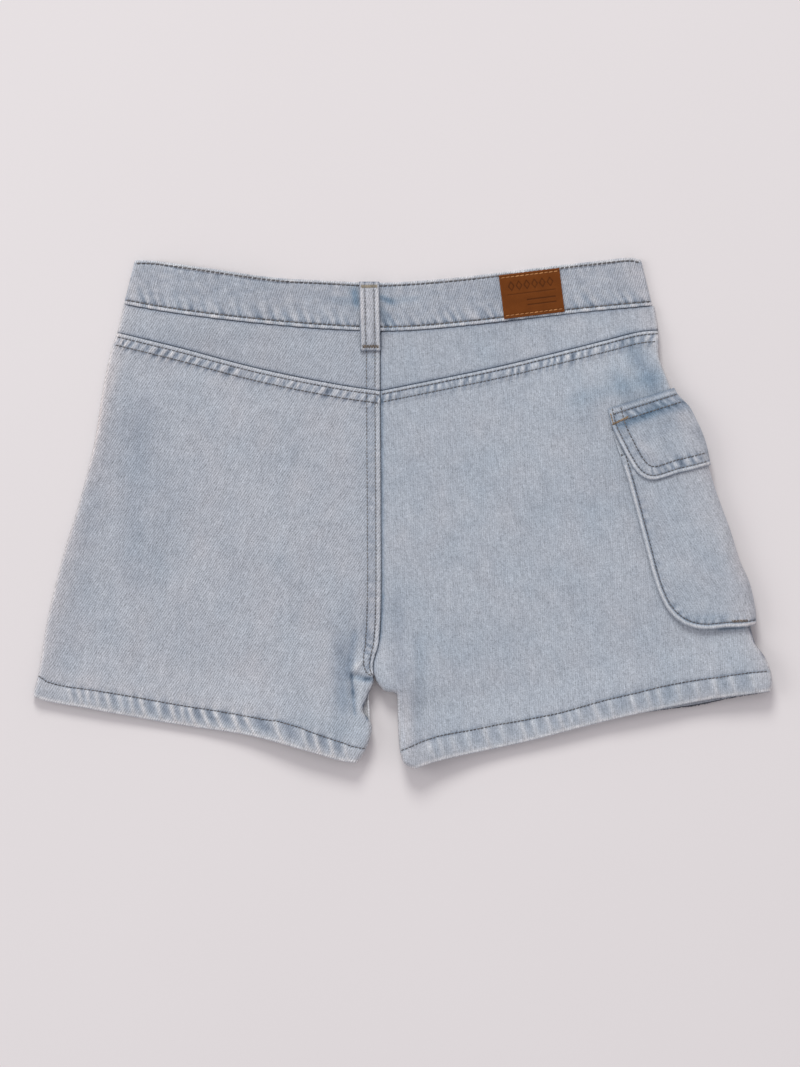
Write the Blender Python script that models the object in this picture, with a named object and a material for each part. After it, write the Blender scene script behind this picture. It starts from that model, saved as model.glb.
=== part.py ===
"""Cargo skort in light denim, laid flat face down, so that its back shows.

Everything is drawn in millimetres in a plan that looks straight down on the garment: x to the right,
y towards the waist, z up from the table.  Each cut piece is a wall of cloth between an upper and a lower
face.  Its outline comes from a few smooth rails, and its heights come from the stack of layers below it.
At the end everything is moved so that the origin is at the centre of the garment's footprint, in metres.
"""
import math
from collections import namedtuple

import bpy
import numpy as np
from mathutils import Vector
from mathutils.geometry import delaunay_2d_cdt

MM = 0.001

# ---------------------------------------------------------------- driving sizes, mm
CLOTH = 1.0            # denim wall of legs, yokes and skirt panel
HEM_PLY = 1.0          # what a hem, folded twice, adds to the wall
HEM_HEIGHT = 13.4
HEM_FALL = 26.0        # above a hem its extra thickness fades over this distance
BAND_WALL = 2.0        # waistband, two plies sewn together
SEAM_GAP = 0.3         # between pieces that are sewn edge to edge
PLY_GAP = 0.5          # between cloth that lies on cloth
BODY_GAP = 0.9         # between the front and the back of the garment
FELL_WIDTH = 8.4       # double-stitched seam, which is raised
FELL_RISE = 0.7
FELL_EDGE = 1.6        # the raised part slopes down over this distance
ROLL = 2.2             # how far a fold at the side of a leg rounds over, in plan
BAND_ROLL = 2.6        # the same at the ends of the flattened waistband
LIFT = 4.3             # the front half of pocket and flap raises the garment this much
LIFT_FALL = 56.0       # the lift fades over this distance
LOOP_WALL = 1.8
PATCH_WALL = 1.1
BUTTON_RADIUS = 8.5
BUTTON_HEIGHT = 1.6
GRID = 14.5            # spacing of the points inside a panel
COARSE_GRID = 21.0     # the same on the hidden front

PLAN_CENTRE = (-0.41, 163.27)   # of the garment's footprint, which becomes the origin

# ---------------------------------------------------------------- outline rails, mm
Place = namedtuple("Place", "at x y")

BAND_TOP = [
    Place("left end", -171.5, 325.1), Place("left", -159.4, 324.8), Place("left dip", -133.8, 321.3),
    Place("left mid", -82.6, 314.2), Place("centre left", -46.7, 312.0), Place("centre", -19.8, 310.7),
    Place("centre right", 7.0, 311.7), Place("right mid", 45.4, 315.2), Place("patch", 83.8, 320.0),
    Place("right dip", 122.2, 324.5), Place("right", 145.3, 326.7), Place("right end", 152.3, 325.4)]
BAND_LOW = [
    Place("left end", -178.6, 297.0), Place("left", -155.5, 292.8), Place("left mid", -129.9, 289.0),
    Place("left centre", -82.6, 283.8), Place("centre left", -46.7, 281.0), Place("centre", -16.0, 279.7),
    Place("centre right", 7.0, 280.3), Place("right mid", 45.4, 283.8), Place("patch", 83.8, 288.3),
    Place("right", 122.2, 292.5), Place("right end", 159.4, 296.0)]
LEFT_SIDE = [
    Place("band", -178.6, 297.0), Place("yoke", -182.4, 280.0), Place("below yoke", -185.6, 271.0),
    Place("hip", -191.4, 246.1), Place("seat", -197.4, 209.0), Place("thigh", -206.7, 171.8),
    Place("flare", -217.0, 137.9), Place("low flare", -226.9, 98.2), Place("above hem", -233.6, 59.2),
    Place("hem", -236.8, 47.2)]
RIGHT_SIDE = [
    Place("band", 160.6, 296.0), Place("yoke", 162.4, 285.0), Place("yoke seam", 163.3, 277.4),
    Place("pinch", 163.6, 263.4), Place("hip", 169.6, 246.7), Place("flap top", 172.6, 239.5),
    Place("flap", 180.5, 225.0), Place("flap low", 187.8, 208.3), Place("mouth", 191.6, 192.0),
    Place("pocket", 197.1, 173.8), Place("pocket mid", 205.4, 151.4), Place("pocket bulge", 211.2, 132.8),
    Place("pocket low", 217.6, 118.7), Place("pocket foot", 221.4, 101.4), Place("below pocket", 222.4, 90.0),
    Place("nip", 225.0, 80.3), Place("above hem", 231.7, 70.7), Place("hem fold", 235.9, 57.0),
    Place("hem", 234.9, 49.6)]
YOKE_LEFT_LOW = [
    Place("side", -182.9, 279.0), Place("hip", -142.7, 269.1), Place("seat", -91.5, 255.7),
    Place("near centre", -40.3, 245.4), Place("centre", -14.5, 241.6)]
YOKE_RIGHT_LOW = [
    Place("centre", -14.5, 241.6), Place("near centre", 30.1, 250.6), Place("seat", 63.4, 257.6),
    Place("hip", 126.1, 273.0), Place("near side", 151.7, 279.4), Place("side", 163.4, 280.4)]
CENTRE_BACK = [
    Place("band", -14.5, 282.0), Place("yoke", -14.5, 241.6), Place("seat", -14.0, 159.0),
    Place("low seat", -14.0, 107.8), Place("curve", -14.7, 88.0), Place("hook", -15.8, 78.4),
    Place("hook low", -17.6, 72.6), Place("hook end", -19.0, 66.6), Place("crotch", -18.7, 59.4)]
LEFT_INNER = [
    Place("crotch", -18.9, 59.2), Place("below crotch", -18.6, 56.5), Place("turn", -19.7, 52.8),
    Place("inseam", -21.2, 49.6), Place("pinch", -24.6, 41.3), Place("pinch foot", -25.5, 37.4),
    Place("out again", -21.5, 31.3), Place("bulge", -19.8, 27.5), Place("bulge foot", -20.4, 22.1),
    Place("above hem", -23.8, 12.5), Place("hem", -29.1, 3.8)]
RIGHT_INNER = [
    Place("crotch", -18.4, 59.4), Place("tongue side", -17.2, 56.4), Place("tongue foot", -11.9, 49.9),
    Place("tongue end", -8.3, 49.1), Place("corner", -4.6, 48.7), Place("inseam", -3.8, 45.4),
    Place("leg", -3.3, 29.1), Place("above hem", -1.7, 10.6), Place("hem corner", 0.9, 3.2),
    Place("hem", 7.4, 0.0)]
LEFT_HEM = [
    Place("side", -236.8, 47.2), Place("corner", -232.3, 44.5), Place("left", -202.4, 38.6),
    Place("mid left", -142.7, 28.0), Place("middle", -97.9, 21.2), Place("mid right", -62.1, 11.6),
    Place("right", -38.0, 4.8), Place("inseam", -29.1, 3.8)]
RIGHT_HEM = [
    Place("inseam", 7.4, 0.0), Place("left", 20.2, 4.4), Place("mid left", 79.7, 17.6),
    Place("middle", 135.7, 31.9), Place("mid right", 195.2, 44.3), Place("right", 226.0, 48.4),
    Place("side", 234.9, 49.6)]
SKIRT_HEM = [
    Place("inseam", 5.4, 4.0), Place("left", 20.2, 5.5), Place("mid left", 79.7, 18.6),
    Place("middle", 135.7, 32.4), Place("peeps out", 165.0, 37.7), Place("peeps most", 190.0, 41.7),
    Place("tucks in", 210.0, 45.7), Place("right", 226.0, 48.2), Place("side", 234.8, 49.2)]
FREE_EDGE = [                       # the skirt panel's free edge, from hem to hip
    Place("hem", 4.6, 3.6), Place("above hem", 1.8, 18.2), Place("inseam", 0.6, 36.0),
    Place("below crotch", -2.0, 47.0), Place("crotch", -9.6, 57.0), Place("seat", -51.8, 107.8),
    Place("thigh", -90.2, 165.4), Place("hip", -126.7, 226.2), Place("band", -158.0, 294.0)]
FRONT_LEFT_INNER = [
    Place("crotch", -18.9, 58.2), Place("inseam", -21.6, 50.0), Place("leg", -21.3, 36.0),
    Place("low leg", -21.4, 24.0), Place("above hem", -24.6, 13.4), Place("hem", -29.6, 5.0)]
CENTRE_FRONT = [
    Place("band", -16.0, 282.0), Place("fly", -16.0, 180.0), Place("crotch", -18.8, 59.4)]

# Pocket and flap: the edge that shows on the back, from the top round to the side of the leg.
FLAP_EDGE = [
    Place("top corner", 130.6, 230.1), Place("back edge", 133.4, 218.6), Place("mid edge", 138.6, 207.7),
    Place("low edge", 144.3, 196.8), Place("corner", 149.6, 189.0), Place("corner foot", 154.6, 185.4),
    Place("corner end", 160.6, 184.4), Place("bottom", 176.6, 189.1)]
POCKET_EDGE = [
    Place("mouth", 139.3, 199.6), Place("under flap", 143.9, 184.6), Place("back edge", 153.8, 147.5),
    Place("low edge", 160.2, 123.2), Place("corner", 164.7, 110.4), Place("corner mid", 170.4, 100.4),
    Place("corner foot", 178.8, 93.2), Place("corner end", 190.1, 89.6), Place("bottom", 208.6, 90.7)]
GUSSET_TOP = Place("gusset top", 134.0, 215.6)

LEG_SPLIT = -11.0                   # x between the legs

POCKET_CORNER = (171.5, 243.5)      # where the flap's top edge meets the side of the leg
POCKET_DOWN = (0.301, -0.9536)      # along the side, towards the hem
POCKET_OUT = (0.9536, 0.301)        # away from the leg
POCKET_REACH = 62.0                 # how far the front half of the pocket reaches in
POCKET_FOOT = 160.4                 # bottom of the pocket, down the side from the corner
FLAP_FOOT = 54.6
LIFT_SPAN = (-4.0, 164.0)           # the lift is full between these distances down the side
LIFT_OUTSIDE = 30.0                 # and to this far outside the leg

# Heights of the pocket's layers over the leg, on the back and on the front half.
Layer = namedtuple("Layer", "piece back_low back_high front_low front_high")
GUSSET_LAYER = Layer("gusset", 0.5, 2.2, 0.5, 1.0)
POCKET_LAYER = Layer("pocket", 2.7, 3.8, 1.4, 2.5)
FLAP_LAYER = Layer("flap", 4.3, 5.5, 3.0, 4.2)
FLAP_SEAM_LAYER = Layer("flap seam", 0.6, 1.8, 0.6, 1.8)
SIDE_BULGE = 0.8                    # the pocket stands off a little more round the side

# Waistband lap, as shares of the band's length from its left end.
LAP_END = 0.12
UNDERLAP_END = 0.225
BUTTON_AT = 0.157
BUTTON_CLEAR = 1.9                  # the button raises the lap this much
BUTTON_FALL = 34.0
LAP_MARGIN = 6.0                    # the lap's extra layers reach this far past its ends, mm
LAP_FALL = 24.0

# Where the back stands off the front: by rise at the place, less around it.
Puff = namedtuple("Puff", "at x y reach rise")
PUFFS = [
    Puff("inner left hem", -50.0, 6.0, 42.0, 2.6), Puff("inner right hem", 16.0, 8.0, 34.0, 2.2),
    Puff("crotch", -10.0, 56.0, 22.0, 2.6)]
SIDE_PUFF = Puff("folded sides", 0.0, 0.0, 9.0, 1.4)
HEM_PUFF = Puff("hems", 0.0, 0.0, 20.0, 0.3)
BAND_NEAR = 3.0                     # within this of the band the back lies at the band's height
BAND_FALL = 34.0
UNDER_BAND = 0.5
PANEL_LAP = 15.0                    # the front leg starts to rise this far before the skirt panel's edge
PANEL_LAP_RUN = 14.0

# Soft ridges (rise > 0) and troughs (rise < 0) that show from a step away.
Fold = namedtuple("Fold", "at x0 y0 x1 y1 half_width rise")
FOLDS = [
    Fold("crotch roll", -23.0, 72.6, -29.4, 66.2, 2.8, 1.4),
    Fold("crotch roll foot", -29.4, 66.2, -32.4, 60.0, 2.6, 1.1),
    Fold("under the roll", -29.0, 59.0, -18.6, 56.4, 2.2, -1.6),
    Fold("inner crease", -32.6, 59.0, -31.7, 46.0, 1.6, -1.3),
    Fold("inner crease foot", -31.7, 46.0, -31.2, 33.0, 2.0, -0.7),
    Fold("inner leg ridge", -26.8, 54.0, -27.6, 40.0, 2.8, 0.7),
    Fold("inner leg swell", -25.5, 26.0, -28.5, 16.0, 4.5, 0.8),
    Fold("beside the roll", -31.0, 84.0, -35.5, 64.0, 5.0, -0.9),
    Fold("beside the crease", -37.5, 60.0, -34.0, 30.0, 3.4, 0.9),
    Fold("left knee trough", -44.0, 66.0, -40.0, 26.0, 4.5, -0.5),
    Fold("left thigh crease", -160.0, 226.0, -158.0, 158.0, 11.0, 1.2),
    Fold("left thigh crease foot", -158.0, 158.0, -174.0, 104.0, 12.0, 0.9),
    Fold("left seat", -92.0, 214.0, -80.0, 120.0, 17.0, 0.9),
    Fold("right inner leg", 6.5, 84.0, 4.6, 18.0, 5.0, 1.2),
    Fold("right seat", 58.0, 210.0, 66.0, 120.0, 18.0, 0.9),
    Fold("right hip", 140.0, 267.0, 158.0, 238.0, 6.0, 1.1),
    Fold("right hip low", 128.0, 252.0, 146.0, 238.0, 6.0, 0.7)]
NARROW_FOLD = 7.0                   # a fold of less half width gets rows of points of its own
Fade = namedtuple("Fade", "start run")
QUIET_SIDE = Fade(1.0, 6.0)         # towards a folded side and towards a hem the folds flatten
QUIET_HEM = Fade(3.0, 12.0)
QUIET_LEAST = 0.25

# Roping of the hems: ridges that slant across the hem band.  at is the distance along the hem where
# a ridge meets the stitches, run how much farther along it reaches the edge.
Ridge = namedtuple("Ridge", "at run rise")
RIDGES = {
    "left_hem": [
        Ridge(22.0, 5.0, 0.5), Ridge(28.0, 6.0, 0.6), Ridge(33.5, 5.0, 0.5), Ridge(39.5, 5.0, 0.4),
        Ridge(46.5, 6.0, 0.8), Ridge(54.5, 6.0, 0.5), Ridge(62.0, 5.0, 0.6), Ridge(68.5, 7.0, 0.9),
        Ridge(79.5, 5.5, 0.9), Ridge(88.5, 6.0, 0.9), Ridge(95.5, 4.0, 0.5), Ridge(100.5, 7.0, 1.0),
        Ridge(109.0, 7.5, 1.0), Ridge(117.0, 8.0, 1.0), Ridge(128.5, 7.0, 0.9), Ridge(136.0, 10.0, 1.0),
        Ridge(154.5, 10.0, 1.0), Ridge(173.0, 8.0, 0.6), Ridge(181.0, 8.0, 0.8), Ridge(191.0, 7.0, 0.9),
        Ridge(201.0, 7.0, 0.6)],
    "right_hem": [
        Ridge(13.0, 1.5, 0.4), Ridge(19.5, 1.0, 0.3), Ridge(27.5, 1.0, 0.3), Ridge(37.5, 1.5, 0.4),
        Ridge(49.0, 1.5, 0.5), Ridge(59.5, 1.0, 0.3), Ridge(73.0, 1.0, 0.5), Ridge(80.5, 1.0, 0.4),
        Ridge(90.0, 1.0, 0.4), Ridge(98.0, 1.0, 0.5), Ridge(104.0, 1.0, 0.3), Ridge(110.5, 1.0, 0.3),
        Ridge(121.0, 1.5, 0.5), Ridge(131.0, 1.0, 0.4), Ridge(145.0, 2.0, 0.5), Ridge(155.0, 1.0, 0.4),
        Ridge(162.5, 1.0, 0.5), Ridge(175.0, 1.0, 0.4), Ridge(187.0, 1.0, 0.3), Ridge(198.0, 1.5, 0.5),
        Ridge(209.0, 2.0, 0.4), Ridge(222.0, 2.5, 0.5)]}
RIDGE_BOW = 1.3                     # the ridges slant more near the edge
RIDGE_HALF = 1.8
RIDGE_END = 4.0                     # they rise and fall over this distance at both ends
HEM_SWELL = 0.5


# ---------------------------------------------------------------- plan geometry
def smooth_line(places, step):
    """Points about a step apart on a Catmull-Rom curve through the places."""
    knots = np.array([(p.x, p.y) for p in places], float)
    before = 2 * knots[0] - knots[1]
    after = 2 * knots[-1] - knots[-2]
    knots = np.vstack([before, knots, after])
    line = []
    for a, b, c, d in zip(knots, knots[1:], knots[2:], knots[3:]):
        t1 = math.dist(a, b) ** 0.5
        t2 = t1 + math.dist(b, c) ** 0.5
        t3 = t2 + math.dist(c, d) ** 0.5
        count = max(1, round(math.dist(b, c) / step))
        t = np.linspace(t1, t2, count, endpoint=False)[:, None]
        a1 = (t1 - t) / t1 * a + t / t1 * b
        a2 = (t2 - t) / (t2 - t1) * b + (t - t1) / (t2 - t1) * c
        a3 = (t3 - t) / (t3 - t2) * c + (t - t2) / (t3 - t2) * d
        b1 = (t2 - t) / t2 * a1 + t / t2 * a2
        b2 = (t3 - t) / (t3 - t1) * a2 + (t - t1) / (t3 - t1) * a3
        line.append((t2 - t) / (t2 - t1) * b1 + (t - t1) / (t2 - t1) * b2)
    line.append(knots[-2][None, :])
    return np.vstack(line)


class Rail:
    """A line in plan that knows distances along it and across it."""

    def __init__(self, points):
        self.points = np.asarray(points, float)
        step = np.diff(self.points, axis=0)
        self.lengths = np.hypot(step[:, 0], step[:, 1])
        self.travel = np.concatenate([[0.0], np.cumsum(self.lengths)])
        self.along = step / self.lengths[:, None]

    @property
    def length(self):
        return self.travel[-1]

    def at(self, travel):
        """Points at distances along the rail."""
        return np.stack([np.interp(travel, self.travel, self.points[:, k]) for k in (0, 1)], axis=-1)

    def normal(self, travel):
        """Unit vectors to the left of travel."""
        ahead = self.at(np.minimum(np.asarray(travel) + 0.8, self.length))
        back = self.at(np.maximum(np.asarray(travel) - 0.8, 0.0))
        way = ahead - back
        way /= np.hypot(way[..., 0], way[..., 1])[..., None]
        return np.stack([-way[..., 1], way[..., 0]], axis=-1)

    def near(self, plan, block=1500):
        """For each plan point: distance along the rail, and distance across it (left is positive)."""
        travel, across = [], []
        for start in range(0, len(plan), block):
            q = plan[start:start + block]
            off = q[:, None, :] - self.points[None, :-1, :]
            share = np.clip((off * self.along).sum(-1), 0.0, self.lengths)
            rest = off - share[..., None] * self.along
            gap = (rest ** 2).sum(-1)
            k = gap.argmin(axis=1)
            row = np.arange(len(q))
            side = self.along[k, 0] * off[row, k, 1] - self.along[k, 1] * off[row, k, 0]
            travel.append(self.travel[k] + share[row, k])
            across.append(np.where(side >= 0, 1.0, -1.0) * np.sqrt(gap[row, k]))
        return np.concatenate(travel), np.concatenate(across)


def rail(places, step=1.5):
    return Rail(smooth_line(places, step))


def soft_step(x):
    """0 below 0, 1 above 1, smooth between."""
    x = np.clip(x, 0.0, 1.0)
    return x * x * (3 - 2 * x)


def inside(polygon, plan):
    """Which plan points lie inside a closed polygon."""
    a = polygon
    b = np.roll(polygon, -1, axis=0)
    result = np.zeros(len(plan), bool)
    for (x0, y0), (x1, y1) in zip(a, b):
        crosses = (y0 > plan[:, 1]) != (y1 > plan[:, 1])
        if y0 != y1:
            reach = (x1 - x0) * (plan[:, 1] - y0) / (y1 - y0) + x0
            result ^= crosses & (plan[:, 0] < reach)
    return result


R = {name: rail(places) for name, places in {
    "band_top": BAND_TOP, "band_low": BAND_LOW, "left_side": LEFT_SIDE, "right_side": RIGHT_SIDE,
    "yoke_left": YOKE_LEFT_LOW, "yoke_right": YOKE_RIGHT_LOW, "centre_back": CENTRE_BACK,
    "left_inner": LEFT_INNER, "right_inner": RIGHT_INNER, "left_hem": LEFT_HEM, "right_hem": RIGHT_HEM,
    "skirt_hem": SKIRT_HEM, "free_edge": FREE_EDGE, "front_left_inner": FRONT_LEFT_INNER,
    "centre_front": CENTRE_FRONT}.items()}


# ---------------------------------------------------------------- the stack of layers
def pocket_frame(plan):
    """Distances down the side and in from the side, of plan points near the pocket."""
    off = plan - np.array(POCKET_CORNER)
    return off @ np.array(POCKET_DOWN), -(off @ np.array(POCKET_OUT))


def from_pocket_frame(down, inward):
    return (np.array(POCKET_CORNER) + np.multiply.outer(down, POCKET_DOWN)
            - np.multiply.outer(inward, POCKET_OUT))


SIDE_DOWN, SIDE_IN = pocket_frame(R["right_side"].points)


def side_edge(down):
    """How far in the leg's own edge lies, at distances down the side."""
    return np.interp(down, SIDE_DOWN, SIDE_IN)


def button_centre():
    top = R["band_top"].at(BUTTON_AT * R["band_top"].length)
    low = R["band_low"].at(BUTTON_AT * R["band_low"].length)
    return (top + low) / 2


def lift(plan):
    """Underside of the outermost cloth: 0 on the table, raised by pocket, flap and button."""
    down, inward = pocket_frame(plan)
    far_down = np.maximum(np.maximum(LIFT_SPAN[0] - down, down - LIFT_SPAN[1]), 0.0)
    far_in = np.maximum(np.maximum(inward - POCKET_REACH, -LIFT_OUTSIDE - inward), 0.0)
    over_pocket = 1 - soft_step(np.hypot(far_down, far_in) / LIFT_FALL)
    off = plan - button_centre()
    past_button = np.hypot(off[:, 0], off[:, 1]) - BUTTON_RADIUS - BUTTON_CLEAR
    over_button = 1 - soft_step(past_button / BUTTON_FALL)
    return LIFT * over_pocket + BUTTON_CLEAR * over_button


def hem_distance(plan):
    """Distance above the hem of the nearer leg."""
    left = R["left_hem"].near(plan)[1]
    right = R["right_hem"].near(plan)[1]
    return np.where(plan[:, 0] < LEG_SPLIT, left, right)


def edge_distance(plan):
    """Distance from the folded sides of the legs."""
    return np.min([np.abs(R[k].near(plan)[1]) for k in
                   ("left_side", "right_side", "left_inner", "right_inner")], axis=0)


def lap_share(plan):
    """1 where the waistband's lap has three layers, fading to 0 beside it."""
    start = R["band_top"].at(LAP_END * R["band_top"].length)[0]
    end = R["band_top"].at(UNDERLAP_END * R["band_top"].length)[0]
    beyond = np.maximum(np.maximum(start - plan[:, 0], plan[:, 0] - end) - LAP_MARGIN, 0.0)
    return 1 - soft_step(beyond / LAP_FALL)


def stack(plan):
    """Heights of every layer's lower and upper face at plan points."""
    low = lift(plan)
    hem = hem_distance(plan)
    hem_ply = HEM_PLY * (1 - soft_step((hem - HEM_HEIGHT) / HEM_FALL))
    cover = soft_step((PANEL_LAP - R["free_edge"].near(plan)[1]) / PANEL_LAP_RUN)
    z = {"skirt_low": low, "skirt_high": low + CLOTH + hem_ply}
    z["front_low"] = low + cover * (CLOTH + hem_ply + PLY_GAP)
    z["front_high"] = z["front_low"] + CLOTH + hem_ply
    gap = BODY_GAP + SIDE_PUFF.rise * np.exp(-(edge_distance(plan) / SIDE_PUFF.reach) ** 2)
    gap += HEM_PUFF.rise * np.exp(-(np.maximum(hem, 0) / HEM_PUFF.reach) ** 2)
    for puff in PUFFS:
        gap += puff.rise * np.exp(-np.hypot(plan[:, 0] - puff.x, plan[:, 1] - puff.y) ** 2 / puff.reach ** 2)
    below_band = np.abs(R["band_low"].near(plan)[1])
    waist = 1 - soft_step((below_band - BAND_NEAR) / BAND_FALL)
    band_back = low + BAND_WALL + BODY_GAP + lap_share(plan) * (BAND_WALL + PLY_GAP)
    z["band_back_low"] = band_back
    leg_back = z["front_high"] + gap
    z["back_low"] = leg_back + waist * (band_back + UNDER_BAND - leg_back)
    z["back_high"] = z["back_low"] + CLOTH + hem_ply
    return z


def fold_relief(plan):
    """The soft ridges and troughs of the back."""
    total = np.zeros(len(plan))
    for fold in FOLDS:
        a = np.array((fold.x0, fold.y0))
        way = np.array((fold.x1, fold.y1)) - a
        length = np.hypot(*way)
        off = plan - a
        run = (off @ way) / length
        across = (off[:, 0] * way[1] - off[:, 1] * way[0]) / length
        past = np.maximum(np.maximum(-run, run - length), 0.0)
        total += fold.rise * np.exp(-(across / fold.half_width) ** 2 - (past / (2 * fold.half_width)) ** 2)
    quiet = soft_step((edge_distance(plan) - QUIET_SIDE.start) / QUIET_SIDE.run)
    quiet *= soft_step((hem_distance(plan) - QUIET_HEM.start) / QUIET_HEM.run)
    return total * (QUIET_LEAST + (1 - QUIET_LEAST) * quiet)


def slant_share(height):
    """How much of its run a ridge has made at a height over the edge: 1 at the edge."""
    return np.clip(1 - height / HEM_HEIGHT, 0, 1) ** RIDGE_BOW


def roping_relief(plan, hem):
    """The ridges of a hem, over a soft swell."""
    travel, height = R[hem].near(plan)
    crests = [ridge.rise * np.exp(-((travel - ridge.at - ridge.run * slant_share(height)) / RIDGE_HALF) ** 2)
              for ridge in RIDGES[hem]]
    band = soft_step(height / RIDGE_END) * (1 - soft_step((height - HEM_HEIGHT + RIDGE_END) / RIDGE_END))
    swell = HEM_SWELL * np.sin(math.pi * np.clip(height / HEM_HEIGHT, 0, 1))
    return (sum(crests) + swell) * band


# ---------------------------------------------------------------- walls of cloth
Edge = namedtuple("Edge", "kind rail start end step")
Rounded = namedtuple("Rounded", "rail side")

ROWS = {                         # distances in from an edge at which a row of points lies
    "side": [ROLL * s for s in (0.08, 0.3, 0.62, 1.0)],
    "hem": [0.9, 0.4 * HEM_HEIGHT, 0.75 * HEM_HEIGHT, HEM_HEIGHT],
    "plain hem": [1.0, HEM_HEIGHT],
    "fell": [FELL_WIDTH, FELL_WIDTH + FELL_EDGE],
    "seam": [],
    "free": []}


GUIDE_START, GUIDE_STEP = 2.0, 9.0  # stations of the rows beside a rail
FOLD_STEP = 6.0
HEM_STEP = 6.5                   # stations along a hem are no farther apart
CELL = 2.0
SHORTEST = 0.12                  # a shorter side of an outline is dropped
NEAREST = 0.14                   # points of rows keep this far apart at the outline,
ROOM_GROWTH = 0.08               # and farther inside
ROOM_DEPTH = 8.0
FOLD_ROOM = 2.2
GRID_ROOM = 0.62                 # share of the grid's spacing


def travel_of(rail_name, point):
    return float(R[rail_name].near(np.array([point]))[0][0])


def hem_stations(hem, height):
    """Places along a hem at a height over its edge: its ridges, midway between them, and its ends."""
    crests = np.array([ridge.at + ridge.run * slant_share(height) for ridge in RIDGES[hem]])
    between = (crests[1:] + crests[:-1]) / 2
    spots = np.sort(np.concatenate([[SEAM_GAP, R[hem].length - SEAM_GAP], crests, between]))
    return np.concatenate([np.linspace(a, b, math.ceil((b - a) / HEM_STEP), endpoint=False)
                           for a, b in zip(spots, spots[1:])] + [spots[-1:]])


def edge_points(edge, inset, depth):
    """Stations beside an outline edge: moved in by the seam gap, and by the depth of a row inside."""
    line = R[edge.rail]
    way = 1.0 if edge.end > edge.start else -1.0
    if edge.kind == "hem":
        travel = hem_stations(edge.rail, depth)
    else:
        count = max(2, round(abs(edge.end - edge.start) / edge.step) + 1)
        travel = np.linspace(edge.start + way * SEAM_GAP, edge.end - way * SEAM_GAP, count)
    return line.at(travel) + line.normal(travel) * way * (inset + depth)


def rows_beside(rail_name, depths):
    """Rows of points beside a rail, at distances to its left."""
    line = R[rail_name]
    travel = np.arange(GUIDE_START, line.length, GUIDE_STEP)
    return [line.at(travel) + line.normal(travel) * depth for depth in depths]


def fold_rows():
    """Rows of points along and beside the narrow folds."""
    rows = []
    for fold in FOLDS:
        if fold.half_width < NARROW_FOLD:
            start, end = np.array((fold.x0, fold.y0)), np.array((fold.x1, fold.y1))
            length = math.dist(start, end)
            way = (end - start) / length
            across = np.array([-way[1], way[0]]) * 1.1 * fold.half_width
            along = np.linspace(0.0, length, max(2, round(length / FOLD_STEP) + 1))
            rows += [start + np.multiply.outer(along, way) + across * side for side in (-1, 0, 1)]
    return rows


class Chosen:
    """Plan points picked so far, in cells, so that near ones are found quickly."""

    def __init__(self, points):
        self.points, self.cells = [], {}
        for point in points:
            self.add(point)

    def cell(self, p):
        return int(p[0] // CELL), int(p[1] // CELL)

    def add(self, p):
        self.points.append(tuple(p))
        self.cells.setdefault(self.cell(p), []).append(tuple(p))

    def clear(self, p, room):
        reach = int(room // CELL) + 1
        cx, cy = self.cell(p)
        return all(math.dist(p, q) >= room
                   for i in range(cx - reach, cx + reach + 1)
                   for j in range(cy - reach, cy + reach + 1)
                   for q in self.cells.get((i, j), ()))


def panel_plan(edges, spacing, insets, guides=(), folds=()):
    """Plan points and triangles of a panel: outline, rows along its edges, guides and folds, and a grid."""
    outline, rows = [], list(guides)
    for edge in edges:
        inset = insets.get(edge.kind, SEAM_GAP / 2)
        outline.append(edge_points(edge, inset, 0.0))
        rows += [edge_points(edge, inset, depth) for depth in ROWS[edge.kind]]
    outline = np.vstack(outline)
    outline = outline[np.hypot(*(outline - np.roll(outline, 1, axis=0)).T) > SHORTEST]
    closed = Rail(np.vstack([outline, outline[:1]]))
    chosen = Chosen(outline)
    for row in rows:
        row = row[inside(outline, row)]
        if len(row):
            for p, far in zip(row, np.abs(closed.near(row)[1])):
                if far > NEAREST and chosen.clear(p, NEAREST + ROOM_GROWTH * min(far, ROOM_DEPTH)):
                    chosen.add(p)
    for row in folds:
        for p in row[inside(outline, row)]:
            if chosen.clear(p, FOLD_ROOM):
                chosen.add(p)
    low, high = outline.min(axis=0), outline.max(axis=0)
    pitch = spacing * math.sqrt(3) / 2
    first_row = math.floor(low[1] / pitch)
    lattice = [((i + 0.5 * (j % 2)) * spacing, j * pitch)
               for j in range(first_row, math.ceil(high[1] / pitch) + 1)
               for i in range(math.floor(low[0] / spacing) - 1, math.ceil(high[0] / spacing) + 1)]
    lattice = np.array(lattice)
    for p in lattice[inside(outline, lattice)]:
        if chosen.clear(p, GRID_ROOM * spacing):
            chosen.add(p)
    return triangulate(chosen.points, len(outline))


def triangulate(points, ring):
    """Delaunay triangles inside the closed ring made by the first points."""
    edges = [(i, (i + 1) % ring) for i in range(ring)]
    made = delaunay_2d_cdt([Vector(p) for p in points], edges, [], 1, 1e-5)
    plan = np.array([tuple(v) for v in made[0]])
    triangles = []
    for a, b, c in made[2]:
        (x0, y0), (x1, y1), (x2, y2) = plan[a], plan[b], plan[c]
        area = (x1 - x0) * (y2 - y0) - (x2 - x0) * (y1 - y0)
        triangles.append((a, b, c) if area > 0 else (a, c, b))
    used = sorted({v for triangle in triangles for v in triangle})
    place = {v: k for k, v in enumerate(used)}
    return plan[used], [tuple(place[v] for v in triangle) for triangle in triangles]


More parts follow.
